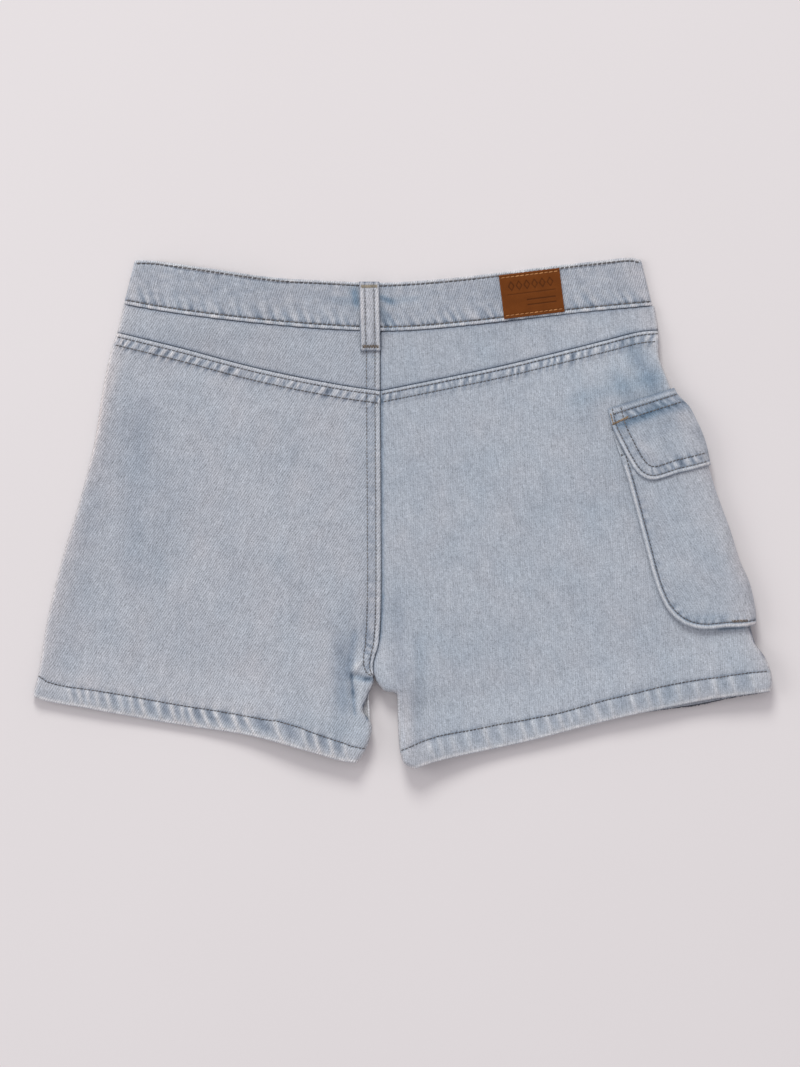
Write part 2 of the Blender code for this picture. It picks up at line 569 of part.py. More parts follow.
def round_over(plan, upper, lower, middle, rounded, toward):
    """Bends a wall over at its folded sides; toward is -1 where the wall is above the fold."""
    top = np.column_stack([plan, upper])
    bottom = np.column_stack([plan, lower])
    for part in rounded:
        travel, across = R[part.rail].near(plan)
        depth = across * part.side
        near = np.abs(depth) < ROLL
        if not near.any():
            continue
        share = 1 - np.clip(np.abs(depth[near]), 0, ROLL) / ROLL
        rise = np.sqrt(np.maximum(1 - share ** 2, 0.0))
        normal = R[part.rail].normal(travel[near]) * part.side
        seam = middle[near] - toward * SEAM_GAP / 2
        outer, inner = (top, bottom) if toward < 0 else (bottom, top)
        outer_z = outer[near, 2]
        inner_z = inner[near, 2]
        outer[near, 2] = seam + (outer_z - seam) * rise
        inner_depth = CLOTH + (ROLL - CLOTH) * (1 - share)
        inner[near, :2] = plan[near] + normal * (inner_depth - np.abs(depth[near]))[:, None]
        inner[near, 2] = seam + (inner_z - seam) * rise
    return top, bottom


def wall(name, top, bottom, triangles, colour):
    """A closed solid between two faces that share their triangles."""
    count = len(top)
    faces = [tuple(t) for t in triangles]
    faces += [tuple(v + count for v in reversed(t)) for t in triangles]
    inner_edges = {(t[k], t[(k + 1) % len(t)]) for t in triangles for k in range(len(t))}
    for a, b in sorted(inner_edges):
        if (b, a) not in inner_edges:
            faces.append((b, a, a + count, b + count))
    return solid(name, np.vstack([top, bottom]), faces, colour)


def solid(name, points, faces, colour, metallic=0.0):
    """A named object from points in millimetres, with its own material."""
    mesh = bpy.data.meshes.new(name)
    place = np.array([PLAN_CENTRE[0], PLAN_CENTRE[1], 0.0])
    mesh.from_pydata(((np.asarray(points) - place) * MM).tolist(), [], faces)
    mesh.validate()
    mesh.shade_smooth()
    mesh.set_sharp_from_angle(angle=math.radians(50))
    finish = bpy.data.materials.new(name + "_finish")
    finish.use_nodes = True
    shader = finish.node_tree.nodes["Principled BSDF"]
    shader.inputs["Base Color"].default_value = (*colour, 1.0)
    shader.inputs["Roughness"].default_value = 0.9 if metallic == 0 else 0.4
    shader.inputs["Metallic"].default_value = metallic
    mesh.materials.append(finish)
    made = bpy.data.objects.new(name, mesh)
    bpy.context.collection.objects.link(made)
    return made


DENIM = (0.40, 0.43, 0.49)
DENIM_DARK = (0.36, 0.39, 0.46)
LEATHER = (0.17, 0.05, 0.012)
METAL = (0.55, 0.52, 0.47)


# ---------------------------------------------------------------- back yokes and legs
HEM_ROUNDING = 1.0               # the hem's edge is rounded over this distance
EDGE_SHARE = 0.35                # the share of its thickness that it keeps at the very edge


def back_piece(name, edges, rounded, fells, hem=None):
    """A panel of the back: rounded sides, raised seams, folds and, on a leg, a roped hem."""
    plan, triangles = panel_plan(edges, GRID, {"side": 0.0, "hem": 0.0}, folds=fold_rows())
    z = stack(plan)
    shift = fold_relief(plan)
    lower = z["back_low"] + shift
    upper = z["back_high"] + shift
    rise = np.zeros(len(plan))
    for rail_name in fells:
        across = np.abs(R[rail_name].near(plan)[1])
        rise = np.maximum(rise, FELL_RISE * (1 - soft_step((across - FELL_WIDTH) / FELL_EDGE)))
    upper = upper + rise
    if hem:
        height = np.clip(R[hem].near(plan)[1] / HEM_ROUNDING, 0, 1)
        half = (upper - lower) / 2 * (EDGE_SHARE + (1 - EDGE_SHARE) * np.sqrt(1 - (1 - height) ** 2))
        middle = (upper + lower) / 2
        upper = middle + half + roping_relief(plan, hem)
        lower = middle - half
    side_middle = (z["front_low"] + z["back_high"]) / 2
    top, bottom = round_over(plan, upper, lower, side_middle, rounded, -1)
    return wall(name, top, bottom, triangles, DENIM)


def make_back():
    side_step, yoke_side_step, pocket_side_step, inner_step = 13.0, 6.0, 6.5, 3.5
    seam_step, centre_step = 13.0, 9.0
    yoke_at = travel_of("left_side", (YOKE_LEFT_LOW[0].x, YOKE_LEFT_LOW[0].y))
    yoke_at_right = travel_of("right_side", (YOKE_RIGHT_LOW[-1].x, YOKE_RIGHT_LOW[-1].y))
    centre_at = travel_of("centre_back", (YOKE_LEFT_LOW[-1].x, YOKE_LEFT_LOW[-1].y))
    band_at = travel_of("band_low", (CENTRE_BACK[0].x, BAND_LOW[5].y))
    centre_top = travel_of("centre_back", (CENTRE_BACK[0].x, BAND_LOW[5].y))
    left_side, right_side = R["left_side"].length, R["right_side"].length

    back_piece("yoke_left", [
        Edge("side", "left_side", 0.0, yoke_at, yoke_side_step),
        Edge("seam", "yoke_left", 0.0, R["yoke_left"].length, seam_step),
        Edge("fell", "centre_back", centre_at, centre_top, centre_step),
        Edge("seam", "band_low", band_at, 0.0, seam_step)],
        [Rounded("left_side", 1)], ["centre_back"])
    back_piece("yoke_right", [
        Edge("seam", "centre_back", centre_top, centre_at, centre_step),
        Edge("seam", "yoke_right", 0.0, R["yoke_right"].length, seam_step),
        Edge("side", "right_side", yoke_at_right, 0.0, yoke_side_step),
        Edge("seam", "band_low", R["band_low"].length, band_at, seam_step)],
        [Rounded("right_side", -1)], [])
    back_piece("back_leg_left", [
        Edge("side", "left_side", yoke_at, left_side, side_step),
        Edge("hem", "left_hem", 0.0, R["left_hem"].length, HEM_STEP),
        Edge("side", "left_inner", R["left_inner"].length, 0.0, inner_step),
        Edge("fell", "centre_back", R["centre_back"].length, centre_at, centre_step),
        Edge("fell", "yoke_left", R["yoke_left"].length, 0.0, seam_step)],
        [Rounded("left_side", 1), Rounded("left_inner", -1)], ["centre_back", "yoke_left"], "left_hem")
    back_piece("back_leg_right", [
        Edge("seam", "centre_back", centre_at, R["centre_back"].length, centre_step),
        Edge("side", "right_inner", 0.0, R["right_inner"].length, inner_step),
        Edge("hem", "right_hem", 0.0, R["right_hem"].length, HEM_STEP),
        Edge("side", "right_side", right_side, yoke_at_right, pocket_side_step),
        Edge("fell", "yoke_right", R["yoke_right"].length, 0.0, seam_step)],
        [Rounded("right_side", -1), Rounded("right_inner", 1)], ["yoke_right"], "right_hem")


# ---------------------------------------------------------------- front legs and skirt panel
def front_piece(name, edges, low_key, high_key, rounded, insets):
    """A plain panel of the hidden front."""
    guides = rows_beside("free_edge", (0.8, 8.0, PANEL_LAP))
    plan, triangles = panel_plan(edges, COARSE_GRID, {"side": 0.0, **insets}, guides)
    z = stack(plan)
    middle = (z[low_key] + z["back_high"]) / 2
    top, bottom = round_over(plan, z[high_key], z[low_key], middle, rounded, 1)
    return wall(name, top, bottom, triangles, DENIM_DARK)


def make_front():
    band_at = travel_of("band_low", (CENTRE_FRONT[0].x, BAND_LOW[5].y))
    centre_top = travel_of("centre_front", (CENTRE_FRONT[0].x, BAND_LOW[5].y))
    panel_top = travel_of("band_low", (FREE_EDGE[-1].x, FREE_EDGE[-1].y))
    panel_end = travel_of("free_edge", R["band_low"].at(panel_top))
    right_side = R["right_side"].length
    tucked = {"plain hem": 0.8, "free": ROLL + 1.4}
    side_step, pocket_side_step, left_inner_step, inner_step = 13.0, 6.5, 6.0, 3.5
    seam_step, hem_step, band_step = 15.0, 12.0, 9.0
    short_of_side = 4.0

    front_piece("front_leg_left", [
        Edge("side", "left_side", 0.0, R["left_side"].length, side_step),
        Edge("plain hem", "left_hem", 0.0, R["left_hem"].length, hem_step),
        Edge("side", "front_left_inner", R["front_left_inner"].length, 0.0, left_inner_step),
        Edge("seam", "centre_front", R["centre_front"].length, centre_top, seam_step),
        Edge("seam", "band_low", band_at, 0.0, band_step)],
        "front_low", "front_high", [Rounded("left_side", 1), Rounded("front_left_inner", -1)], tucked)
    front_piece("front_leg_right", [
        Edge("seam", "centre_front", centre_top, R["centre_front"].length, seam_step),
        Edge("side", "right_inner", 0.0, R["right_inner"].length, inner_step),
        Edge("plain hem", "right_hem", 0.0, R["right_hem"].length - short_of_side, hem_step),
        Edge("free", "right_side", right_side, 0.0, side_step),
        Edge("seam", "band_low", R["band_low"].length - short_of_side, band_at, seam_step)],
        "front_low", "front_high", [Rounded("right_inner", 1)], tucked)
    front_piece("skirt_panel", [
        Edge("free", "free_edge", panel_end - 0.8, 0.0, seam_step),
        Edge("plain hem", "skirt_hem", 0.0, R["skirt_hem"].length, hem_step),
        Edge("side", "right_side", right_side, 0.0, pocket_side_step),
        Edge("seam", "band_low", R["band_low"].length, panel_top, band_step)],
        "skirt_low", "skirt_high", [Rounded("right_side", -1)], {"plain hem": 0.0})


# ---------------------------------------------------------------- waistband, loop, patch, button
def band_point(share, width_share):
    """Plan point of the band at a share of its length and of its width (0 is the top edge)."""
    top = R["band_top"].at(share * R["band_top"].length)
    low = R["band_low"].at(share * R["band_low"].length)
    return top + (low - top) * width_share


BandRow = namedtuple("BandRow", "share thick")     # across the band, and how much of its wall it keeps
BAND_ROWS = [
    BandRow(0.0, 0.45), BandRow(0.05, 1.0), BandRow(0.5, 1.0), BandRow(0.94, 1.0), BandRow(0.995, 0.5)]
Station = namedtuple("Station", "outer inner run turn")
COUNTS = {"front": 26, "bend": 8, "back": 30, "underlap": 14}
UNDERLAP_START = 5.0             # the underlap climbs over the lap from here to the lap's end, less a margin
UNDERLAP_MARGIN = 8.0


def make_waistband():
    """One strip: front lap, across the front, round the right side, along the back, and in again."""
    length = R["band_low"].length
    end = BAND_ROLL / length
    stations = [Station(s, s, "front", 0.0) for s in np.linspace(LAP_END, 1 - end, COUNTS["front"])[:-1]]
    arc = np.radians(np.linspace(-90, 90, COUNTS["bend"]))

    def bend(angle, right):
        outer = BAND_ROLL * (1 - math.cos(angle)) / length
        inner = (BAND_WALL + (BAND_ROLL - BAND_WALL) * (1 - math.cos(angle))) / length
        return Station(1 - outer if right else outer, 1 - inner if right else inner, "bend", angle)

    stations += [bend(angle, True) for angle in arc]
    stations += [Station(s, s, "back", 0.0) for s in np.linspace(1 - end, end, COUNTS["back"])[1:-1]]
    stations += [bend(angle, False) for angle in arc[::-1]]
    underlap = np.linspace(end, UNDERLAP_END, COUNTS["underlap"])
    stations += [Station(s, s, "underlap", 0.0) for s in underlap[1:]]

    loops = []
    for station in stations:
        outer_row, inner_row = [], []
        for share, thick in BAND_ROWS:
            outer = band_point(station.outer, share)
            inner = band_point(station.inner, share)
            z = {k: v[0] for k, v in stack(outer[None, :]).items()}
            front, back = z["skirt_low"], z["band_back_low"]
            climb = (station.outer * length - UNDERLAP_START) / (LAP_END * length - UNDERLAP_MARGIN)
            step = soft_step(climb) * (BAND_WALL + PLY_GAP)
            low, high = {
                "front": (front, front + BAND_WALL), "back": (back + BAND_WALL, back),
                "underlap": (front + step, front + step + BAND_WALL), "bend": (0.0, 0.0)}[station.run]
            if station.run == "bend":
                middle = (front + back + BAND_WALL) / 2
                reach_out = (back + BAND_WALL if station.turn > 0 else front) - middle
                reach_in = (back if station.turn > 0 else front + BAND_WALL) - middle
                low = middle + abs(math.sin(station.turn)) * reach_out
                high = middle + abs(math.sin(station.turn)) * reach_in
            outer, inner = np.array([*outer, low]), np.array([*inner, high])
            centre = (outer + inner) / 2
            outer_row.append(tuple(centre + (outer - centre) * thick))
            inner_row.append(tuple(centre + (inner - centre) * thick))
        loops.append(outer_row + inner_row[::-1])
    ring = len(loops[0])
    faces = [(i * ring + k, (i + 1) * ring + k, (i + 1) * ring + (k + 1) % ring, i * ring + (k + 1) % ring)
             for i in range(len(loops) - 1) for k in range(ring)]
    half = ring // 2
    last = (len(loops) - 1) * ring
    for k in range(half - 1):
        faces.append((k, k + 1, ring - 2 - k, ring - 1 - k))
        faces.append((last + k + 1, last + k, last + ring - 1 - k, last + ring - 2 - k))
    return solid("waistband", [p for loop in loops for p in loop], faces, DENIM)


def grid_wall(name, top, bottom, colour):
    """A closed solid from two matching grids of points, rows by columns."""
    rows, columns = top.shape[:2]
    quads = [(i * columns + j, (i + 1) * columns + j, (i + 1) * columns + j + 1, i * columns + j + 1)
             for i in range(rows - 1) for j in range(columns - 1)]
    return wall(name, top.reshape(-1, 3), bottom.reshape(-1, 3), quads, colour)


LOOP_TOP = Place("loop top", -21.6, 311.4)
LOOP_FOOT = Place("loop foot", -20.7, 266.9)
LOOP_WIDTH = 12.9
LOOP_TACK = 3.0                  # the loop is tacked down this far from its ends
LOOP_STAND = 1.5                 # between them it stands this far off the band
LOOP_FREE = (0.08, 0.92)         # shares of its length between which it stands off
LOOP_DROP = (0.66, 0.9)          # and between which it goes down from the band to the yoke


def band_high(plan):
    return stack(plan)["band_back_low"] + BAND_WALL


def yoke_high(plan):
    across = np.abs(R["centre_back"].near(plan)[1])
    rise = FELL_RISE * (1 - soft_step((across - FELL_WIDTH) / FELL_EDGE)) * (plan[:, 0] < CENTRE_BACK[0].x)
    return stack(plan)["back_high"] + fold_relief(plan) + rise


def make_belt_loop():
    """A folded strip, tacked down at both ends and standing a little off the band between them."""
    along = np.array([0.0, 0.012, 0.05, 0.1, 0.2, 0.35, 0.5, 0.62, 0.7, 0.78, 0.86, 0.93, 0.985, 1.0])
    across = np.array([-0.5, -0.47, -0.3, 0.0, 0.3, 0.47, 0.5])
    foot_rest = float(yoke_high(np.array([[LOOP_FOOT.x, LOOP_FOOT.y + LOOP_TACK]]))[0])
    top_rest = float(band_high(np.array([[LOOP_TOP.x, LOOP_TOP.y - LOOP_TACK]]))[0])
    top, bottom = [], []
    for s in along:
        x = LOOP_TOP.x + (LOOP_FOOT.x - LOOP_TOP.x) * s
        y = LOOP_TOP.y + (LOOP_FOOT.y - LOOP_TOP.y) * s
        drop = float(soft_step((s - LOOP_DROP[0]) / (LOOP_DROP[1] - LOOP_DROP[0])))
        rest = top_rest + (foot_rest - top_rest) * drop + SEAM_GAP
        free = min(max((s - LOOP_FREE[0]) / (LOOP_FREE[1] - LOOP_FREE[0]), 0.0), 1.0)
        stand = LOOP_STAND * math.sin(math.pi * free)
        thin = 0.5 if s in (0.0, 1.0) else 1.0
        for side in across:
            edge = 0.55 if abs(side) == 0.5 else 1.0
            low = rest + stand
            top.append((x + side * LOOP_WIDTH, y, low + LOOP_WALL * (0.3 + 0.7 * thin * edge)))
            bottom.append((x + side * LOOP_WIDTH, y, low))
    shape = (len(along), len(across), 3)
    return grid_wall("belt_loop", np.array(top).reshape(shape), np.array(bottom).reshape(shape), DENIM)


PATCH_CORNER = Place("patch upper left", 61.2, 315.4)
PATCH_SIZE = (39.0, 28.2)
PATCH_TILT = math.radians(7.1)


def make_patch():
    """A thin leather-like patch that follows the band."""
    right = np.array([math.cos(PATCH_TILT), math.sin(PATCH_TILT)])
    down = np.array([math.sin(PATCH_TILT), -math.cos(PATCH_TILT)])
    ticks_x = np.array([0.0, 0.015, 0.25, 0.5, 0.75, 0.985, 1.0])
    ticks_y = np.array([0.0, 0.02, 0.35, 0.65, 0.98, 1.0])
    plan = np.array([np.array(PATCH_CORNER[1:]) + right * PATCH_SIZE[0] * u + down * PATCH_SIZE[1] * v
                     for v in ticks_y for u in ticks_x])
    base = band_high(plan) + SEAM_GAP
    edge = np.array([0.6 if u in (0.0, 1.0) or v in (0.0, 1.0) else 1.0 for v in ticks_y for u in ticks_x])
    top = np.column_stack([plan, base + PATCH_WALL * edge])
    bottom = np.column_stack([plan, base])
    shape = (len(ticks_y), len(ticks_x), 3)
    return grid_wall("patch", top.reshape(shape), bottom.reshape(shape), LEATHER)


def make_button():
    """The flat shank button on the lap, face down on the table."""
    centre = button_centre()
    profile = [(0.0, 0.0), (BUTTON_RADIUS - 1.2, 0.0), (BUTTON_RADIUS - 0.3, 0.3), (BUTTON_RADIUS, 0.8),
               (BUTTON_RADIUS - 0.4, 1.3), (BUTTON_RADIUS - 1.5, BUTTON_HEIGHT), (0.0, BUTTON_HEIGHT)]
    around = 28
    points = [(centre[0], centre[1], 0.0), (centre[0], centre[1], BUTTON_HEIGHT)]
    for radius, z in profile[1:-1]:
        points += [(centre[0] + radius * math.cos(2 * math.pi * k / around),
                    centre[1] + radius * math.sin(2 * math.pi * k / around), z) for k in range(around)]
    faces = []
    rings = len(profile) - 2
    for k in range(around):
        n = (k + 1) % around
        faces.append((0, 2 + n, 2 + k))
        faces += [(2 + i * around + k, 2 + i * around + n, 2 + (i + 1) * around + n, 2 + (i + 1) * around + k)
                  for i in range(rings - 1)]
        faces.append((1, 2 + (rings - 1) * around + k, 2 + (rings - 1) * around + n))
    return solid("button", points, faces, METAL, metallic=1.0)


# ---------------------------------------------------------------- cargo pocket and flap
QUARTER = math.pi / 2 * (ROLL + 3.0)      # surface length from the outermost line to the flat of the leg
WRAP_ROOM = 0.75                          # the grid of a wrapped piece keeps this far from its outline


def to_wrap(plan):
    """Surface distance round the side (0 outermost, positive on the back) and distance down."""
    down, inward = pocket_frame(plan)
    return inward - side_edge(down) - ROLL + QUARTER, down


def wrap(around, down, back, front):
    """Points at heights over the leg, for positions round its side; heights may vary by point."""
    over = np.clip(np.abs(around) - QUARTER, 0.0, None)
    angle = np.clip(around / QUARTER, -1.0, 1.0) * math.pi / 2
    blend = 0.5 + 0.5 * np.sin(angle)
    height = front + (back - front) * blend + SIDE_BULGE * np.cos(angle)
    edge = side_edge(down)
    inward = edge + ROLL - (ROLL + height) * np.cos(angle) + over
    plan = from_pocket_frame(down, inward)
    flat = from_pocket_frame(down, edge + ROLL + over)
    z = stack(flat)
    over_leg = z["back_high"] + fold_relief(flat) + back
    under_leg = z["skirt_low"] - front
    middle = (z["back_high"] + z["skirt_low"]) / 2
    lifted = np.where(angle >= 0, middle + np.sin(angle) * (over_leg - middle),
                      middle + np.sin(angle) * (middle - under_leg))
    return np.column_stack([plan, lifted])


def around_ticks(half, spacing, arc_count=9):
    """Places from -half to half, close together where the wall turns round the side."""
    run = np.linspace(QUARTER, half, max(2, round((half - QUARTER) / spacing) + 1))[1:]
    return np.concatenate([-run[::-1], np.linspace(-QUARTER, QUARTER, arc_count), run])


def wrapped_outline(edge_places, foot, step):
    """Closed outline round the side: the edge that shows, the bottom, and the same edge on the front."""
    line = smooth_line(edge_places, step)
    around, down = to_wrap(line)
    bottom = around_ticks(around[-1], step)[::-1][1:-1]
    level = foot + (down[-1] - foot) * (bottom / around[-1]) ** 2
    back = np.column_stack([around, down])
    base = np.column_stack([bottom, level])
    front = np.column_stack([-around[::-1], down[::-1]])
    return np.vstack([back, base, front])


def filled(outline, spacing, top_step):
    """Triangles over a closed outline whose last stretch is its straight top edge."""
    top = around_ticks(outline[0][0], top_step)[1:-1]
    ring = np.vstack([outline, np.column_stack([top, np.full(len(top), outline[0][1])])])
    closed = Rail(np.vstack([ring, ring[:1]]))
    low, high = ring.min(axis=0), ring.max(axis=0)
    columns = around_ticks(high[0], spacing)
    lattice = np.array([(u, v) for v in np.arange(low[1], high[1], spacing * 0.8) for u in columns])
    lattice = lattice[inside(ring, lattice)]
    lattice = lattice[np.abs(closed.near(lattice)[1]) > WRAP_ROOM]
    return triangulate([tuple(p) for p in np.vstack([ring, lattice])], len(ring))


def layered(name, plan, triangles, low_back, high_back, low_front, high_front):
    """A wall round the side of the leg, between heights over the leg on the back and on the front."""
    top = wrap(plan[:, 0], plan[:, 1], high_back, high_front)
    bottom = wrap(plan[:, 0], plan[:, 1], low_back, low_front)
    return wall(name, top, bottom, triangles, DENIM)


def constant(layer, count):
    return [np.full(count, value) for value in layer[1:]]


def make_pocket():
    outline = wrapped_outline(POCKET_EDGE, POCKET_FOOT, 7.0)
    plan, triangles = filled(outline, 11.0, 9.0)
    layered("pocket", plan, triangles, *constant(POCKET_LAYER, len(plan)))


def make_gusset():
    """The bellows strip: it follows the pocket's edge, a little outside the pocket's face."""
    line = wrapped_outline([GUSSET_TOP] + POCKET_EDGE, POCKET_FOOT, 6.0)
    strip = Rail(line)
    travel = strip.travel
    normal = strip.normal(travel)
    outer = line - 0.5 * normal
    inner = line + 4.6 * normal
    columns = [outer, (outer + inner) / 2, inner]
    plan = np.stack(columns, axis=1).reshape(-1, 2)
    count = len(columns)
    quads = [(i * count + j, (i + 1) * count + j, (i + 1) * count + j + 1, i * count + j + 1)
             for i in range(len(line) - 1) for j in range(count - 1)]
    layers = constant(GUSSET_LAYER, len(plan))
    full = 0.35 + 0.65 * soft_step((plan[:, 1] - 12.0) / 20.0)
    layers[1] = layers[0] + (layers[1] - layers[0]) * full
    layered("pocket_gusset", plan, quads, *layers)


def make_flap():
    """Sewn to the leg along its top edge, then over the pocket's mouth."""
    outline = wrapped_outline(FLAP_EDGE, FLAP_FOOT, 4.5)
    plan, triangles = filled(outline, 9.0, 9.0)
    rise = soft_step((plan[:, 1] - 3.0) / 14.0)
    heights = [seam + (over - seam) * rise for seam, over in
               zip(constant(FLAP_SEAM_LAYER, len(plan)), constant(FLAP_LAYER, len(plan)))]
    layered("pocket_flap", plan, triangles, *heights)


def main():
    for old in list(bpy.data.objects):
        bpy.data.objects.remove(old)
    make_back()
    make_front()
    make_waistband()
    make_belt_loop()
    make_patch()
    make_button()
    make_pocket()
    make_gusset()
    make_flap()


main()
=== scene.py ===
"""Looks of the cargo skort: the cloth in fine detail, its stitches, patch and button, and the studio.

Everything is drawn in millimetres in the plan that the part's source uses, x to the right and y towards the
waist, and is moved by PLAN_CENTRE into the frame, in metres, when a mesh is made.  The tables and functions
down to roping_relief work as those of the part's source do, so each piece lies exactly where its solid does.
"""
import math
from collections import namedtuple

import bpy
import numpy as np
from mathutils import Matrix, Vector, noise
from mathutils.bvhtree import BVHTree
from mathutils.geometry import delaunay_2d_cdt


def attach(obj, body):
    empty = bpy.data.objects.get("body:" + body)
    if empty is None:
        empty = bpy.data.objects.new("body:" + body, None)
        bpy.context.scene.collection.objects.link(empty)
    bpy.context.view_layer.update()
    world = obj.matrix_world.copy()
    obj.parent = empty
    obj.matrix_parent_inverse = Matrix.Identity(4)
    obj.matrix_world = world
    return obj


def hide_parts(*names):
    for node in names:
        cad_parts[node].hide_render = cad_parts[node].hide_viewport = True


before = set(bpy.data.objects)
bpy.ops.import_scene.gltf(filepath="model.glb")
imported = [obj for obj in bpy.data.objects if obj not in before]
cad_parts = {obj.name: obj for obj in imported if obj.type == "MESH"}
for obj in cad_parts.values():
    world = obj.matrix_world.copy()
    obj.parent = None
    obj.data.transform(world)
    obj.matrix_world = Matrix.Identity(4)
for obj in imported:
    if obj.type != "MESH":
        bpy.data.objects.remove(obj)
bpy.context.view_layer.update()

MM = 0.001

# ---------------------------------------------------------------- driving sizes, mm
CLOTH = 1.0            # denim wall of legs, yokes and skirt panel
HEM_PLY = 1.0          # what a hem, folded twice, adds to the wall
HEM_HEIGHT = 13.4
HEM_FALL = 26.0        # above a hem its extra thickness fades over this distance
BAND_WALL = 2.0        # waistband, two plies sewn together
SEAM_GAP = 0.3         # between pieces that are sewn edge to edge
PLY_GAP = 0.5          # between cloth that lies on cloth
BODY_GAP = 0.9         # between the front and the back of the garment
FELL_WIDTH = 8.4       # double-stitched seam, which is raised
FELL_RISE = 0.7
FELL_EDGE = 1.6        # the raised part slopes down over this distance
ROLL = 2.2             # how far a fold at the side of a leg rounds over, in plan
BAND_ROLL = 2.6        # the same at the ends of the flattened waistband
LIFT = 4.3             # the front half of pocket and flap raises the garment this much
LIFT_FALL = 56.0       # the lift fades over this distance
LOOP_WALL = 1.8
PATCH_WALL = 1.1
BUTTON_RADIUS = 8.5
BUTTON_HEIGHT = 1.6

PLAN_CENTRE = (-0.41, 163.27)   # of the garment's footprint, which becomes the origin

# ---------------------------------------------------------------- outline rails, mm
Place = namedtuple("Place", "at x y")

BAND_TOP = [
    Place("left end", -171.5, 325.1), Place("left", -159.4, 324.8), Place("left dip", -133.8, 321.3),
    Place("left mid", -82.6, 314.2), Place("centre left", -46.7, 312.0), Place("centre", -19.8, 310.7),
    Place("centre right", 7.0, 311.7), Place("right mid", 45.4, 315.2), Place("patch", 83.8, 320.0),
    Place("right dip", 122.2, 324.5), Place("right", 145.3, 326.7), Place("right end", 152.3, 325.4)]
BAND_LOW = [
    Place("left end", -178.6, 297.0), Place("left", -155.5, 292.8), Place("left mid", -129.9, 289.0),
    Place("left centre", -82.6, 283.8), Place("centre left", -46.7, 281.0), Place("centre", -16.0, 279.7),
    Place("centre right", 7.0, 280.3), Place("right mid", 45.4, 283.8), Place("patch", 83.8, 288.3),
    Place("right", 122.2, 292.5), Place("right end", 159.4, 296.0)]
LEFT_SIDE = [
    Place("band", -178.6, 297.0), Place("yoke", -182.4, 280.0), Place("below yoke", -185.6, 271.0),
    Place("hip", -191.4, 246.1), Place("seat", -197.4, 209.0), Place("thigh", -206.7, 171.8),
    Place("flare", -217.0, 137.9), Place("low flare", -226.9, 98.2), Place("above hem", -233.6, 59.2),
    Place("hem", -236.8, 47.2)]
RIGHT_SIDE = [
    Place("band", 160.6, 296.0), Place("yoke", 162.4, 285.0), Place("yoke seam", 163.3, 277.4),
    Place("pinch", 163.6, 263.4), Place("hip", 169.6, 246.7), Place("flap top", 172.6, 239.5),
    Place("flap", 180.5, 225.0), Place("flap low", 187.8, 208.3), Place("mouth", 191.6, 192.0),
    Place("pocket", 197.1, 173.8), Place("pocket mid", 205.4, 151.4), Place("pocket bulge", 211.2, 132.8),
    Place("pocket low", 217.6, 118.7), Place("pocket foot", 221.4, 101.4), Place("below pocket", 222.4, 90.0),
    Place("nip", 225.0, 80.3), Place("above hem", 231.7, 70.7), Place("hem fold", 235.9, 57.0),
    Place("hem", 234.9, 49.6)]
YOKE_LEFT_LOW = [
    Place("side", -182.9, 279.0), Place("hip", -142.7, 269.1), Place("seat", -91.5, 255.7),
    Place("near centre", -40.3, 245.4), Place("centre", -14.5, 241.6)]
YOKE_RIGHT_LOW = [
    Place("centre", -14.5, 241.6), Place("near centre", 30.1, 250.6), Place("seat", 63.4, 257.6),
    Place("hip", 126.1, 273.0), Place("near side", 151.7, 279.4), Place("side", 163.4, 280.4)]
CENTRE_BACK = [
    Place("band", -14.5, 282.0), Place("yoke", -14.5, 241.6), Place("seat", -14.0, 159.0),
    Place("low seat", -14.0, 107.8), Place("curve", -14.7, 88.0), Place("hook", -15.8, 78.4),
    Place("hook low", -17.6, 72.6), Place("hook end", -19.0, 66.6), Place("crotch", -18.7, 59.4)]
LEFT_INNER = [
    Place("crotch", -18.9, 59.2), Place("below crotch", -18.6, 56.5), Place("turn", -19.7, 52.8),
    Place("inseam", -21.2, 49.6), Place("pinch", -24.6, 41.3), Place("pinch foot", -25.5, 37.4),
    Place("out again", -21.5, 31.3), Place("bulge", -19.8, 27.5), Place("bulge foot", -20.4, 22.1),
    Place("above hem", -23.8, 12.5), Place("hem", -29.1, 3.8)]
RIGHT_INNER = [
    Place("crotch", -18.4, 59.4), Place("tongue side", -17.2, 56.4), Place("tongue foot", -11.9, 49.9),
    Place("tongue end", -8.3, 49.1), Place("corner", -4.6, 48.7), Place("inseam", -3.8, 45.4),
    Place("leg", -3.3, 29.1), Place("above hem", -1.7, 10.6), Place("hem corner", 0.9, 3.2),
    Place("hem", 7.4, 0.0)]
LEFT_HEM = [
    Place("side", -236.8, 47.2), Place("corner", -232.3, 44.5), Place("left", -202.4, 38.6),
    Place("mid left", -142.7, 28.0), Place("middle", -97.9, 21.2), Place("mid right", -62.1, 11.6),
    Place("right", -38.0, 4.8), Place("inseam", -29.1, 3.8)]
RIGHT_HEM = [
    Place("inseam", 7.4, 0.0), Place("left", 20.2, 4.4), Place("mid left", 79.7, 17.6),
    Place("middle", 135.7, 31.9), Place("mid right", 195.2, 44.3), Place("right", 226.0, 48.4),
    Place("side", 234.9, 49.6)]
SKIRT_HEM = [
    Place("inseam", 5.4, 4.0), Place("left", 20.2, 5.5), Place("mid left", 79.7, 18.6),
    Place("middle", 135.7, 32.4), Place("peeps out", 165.0, 37.7), Place("peeps most", 190.0, 41.7),
    Place("tucks in", 210.0, 45.7), Place("right", 226.0, 48.2), Place("side", 234.8, 49.2)]
FREE_EDGE = [                       # the skirt panel's free edge, from hem to hip
    Place("hem", 4.6, 3.6), Place("above hem", 1.8, 18.2), Place("inseam", 0.6, 36.0),
    Place("below crotch", -2.0, 47.0), Place("crotch", -9.6, 57.0), Place("seat", -51.8, 107.8),
    Place("thigh", -90.2, 165.4), Place("hip", -126.7, 226.2), Place("band", -158.0, 294.0)]
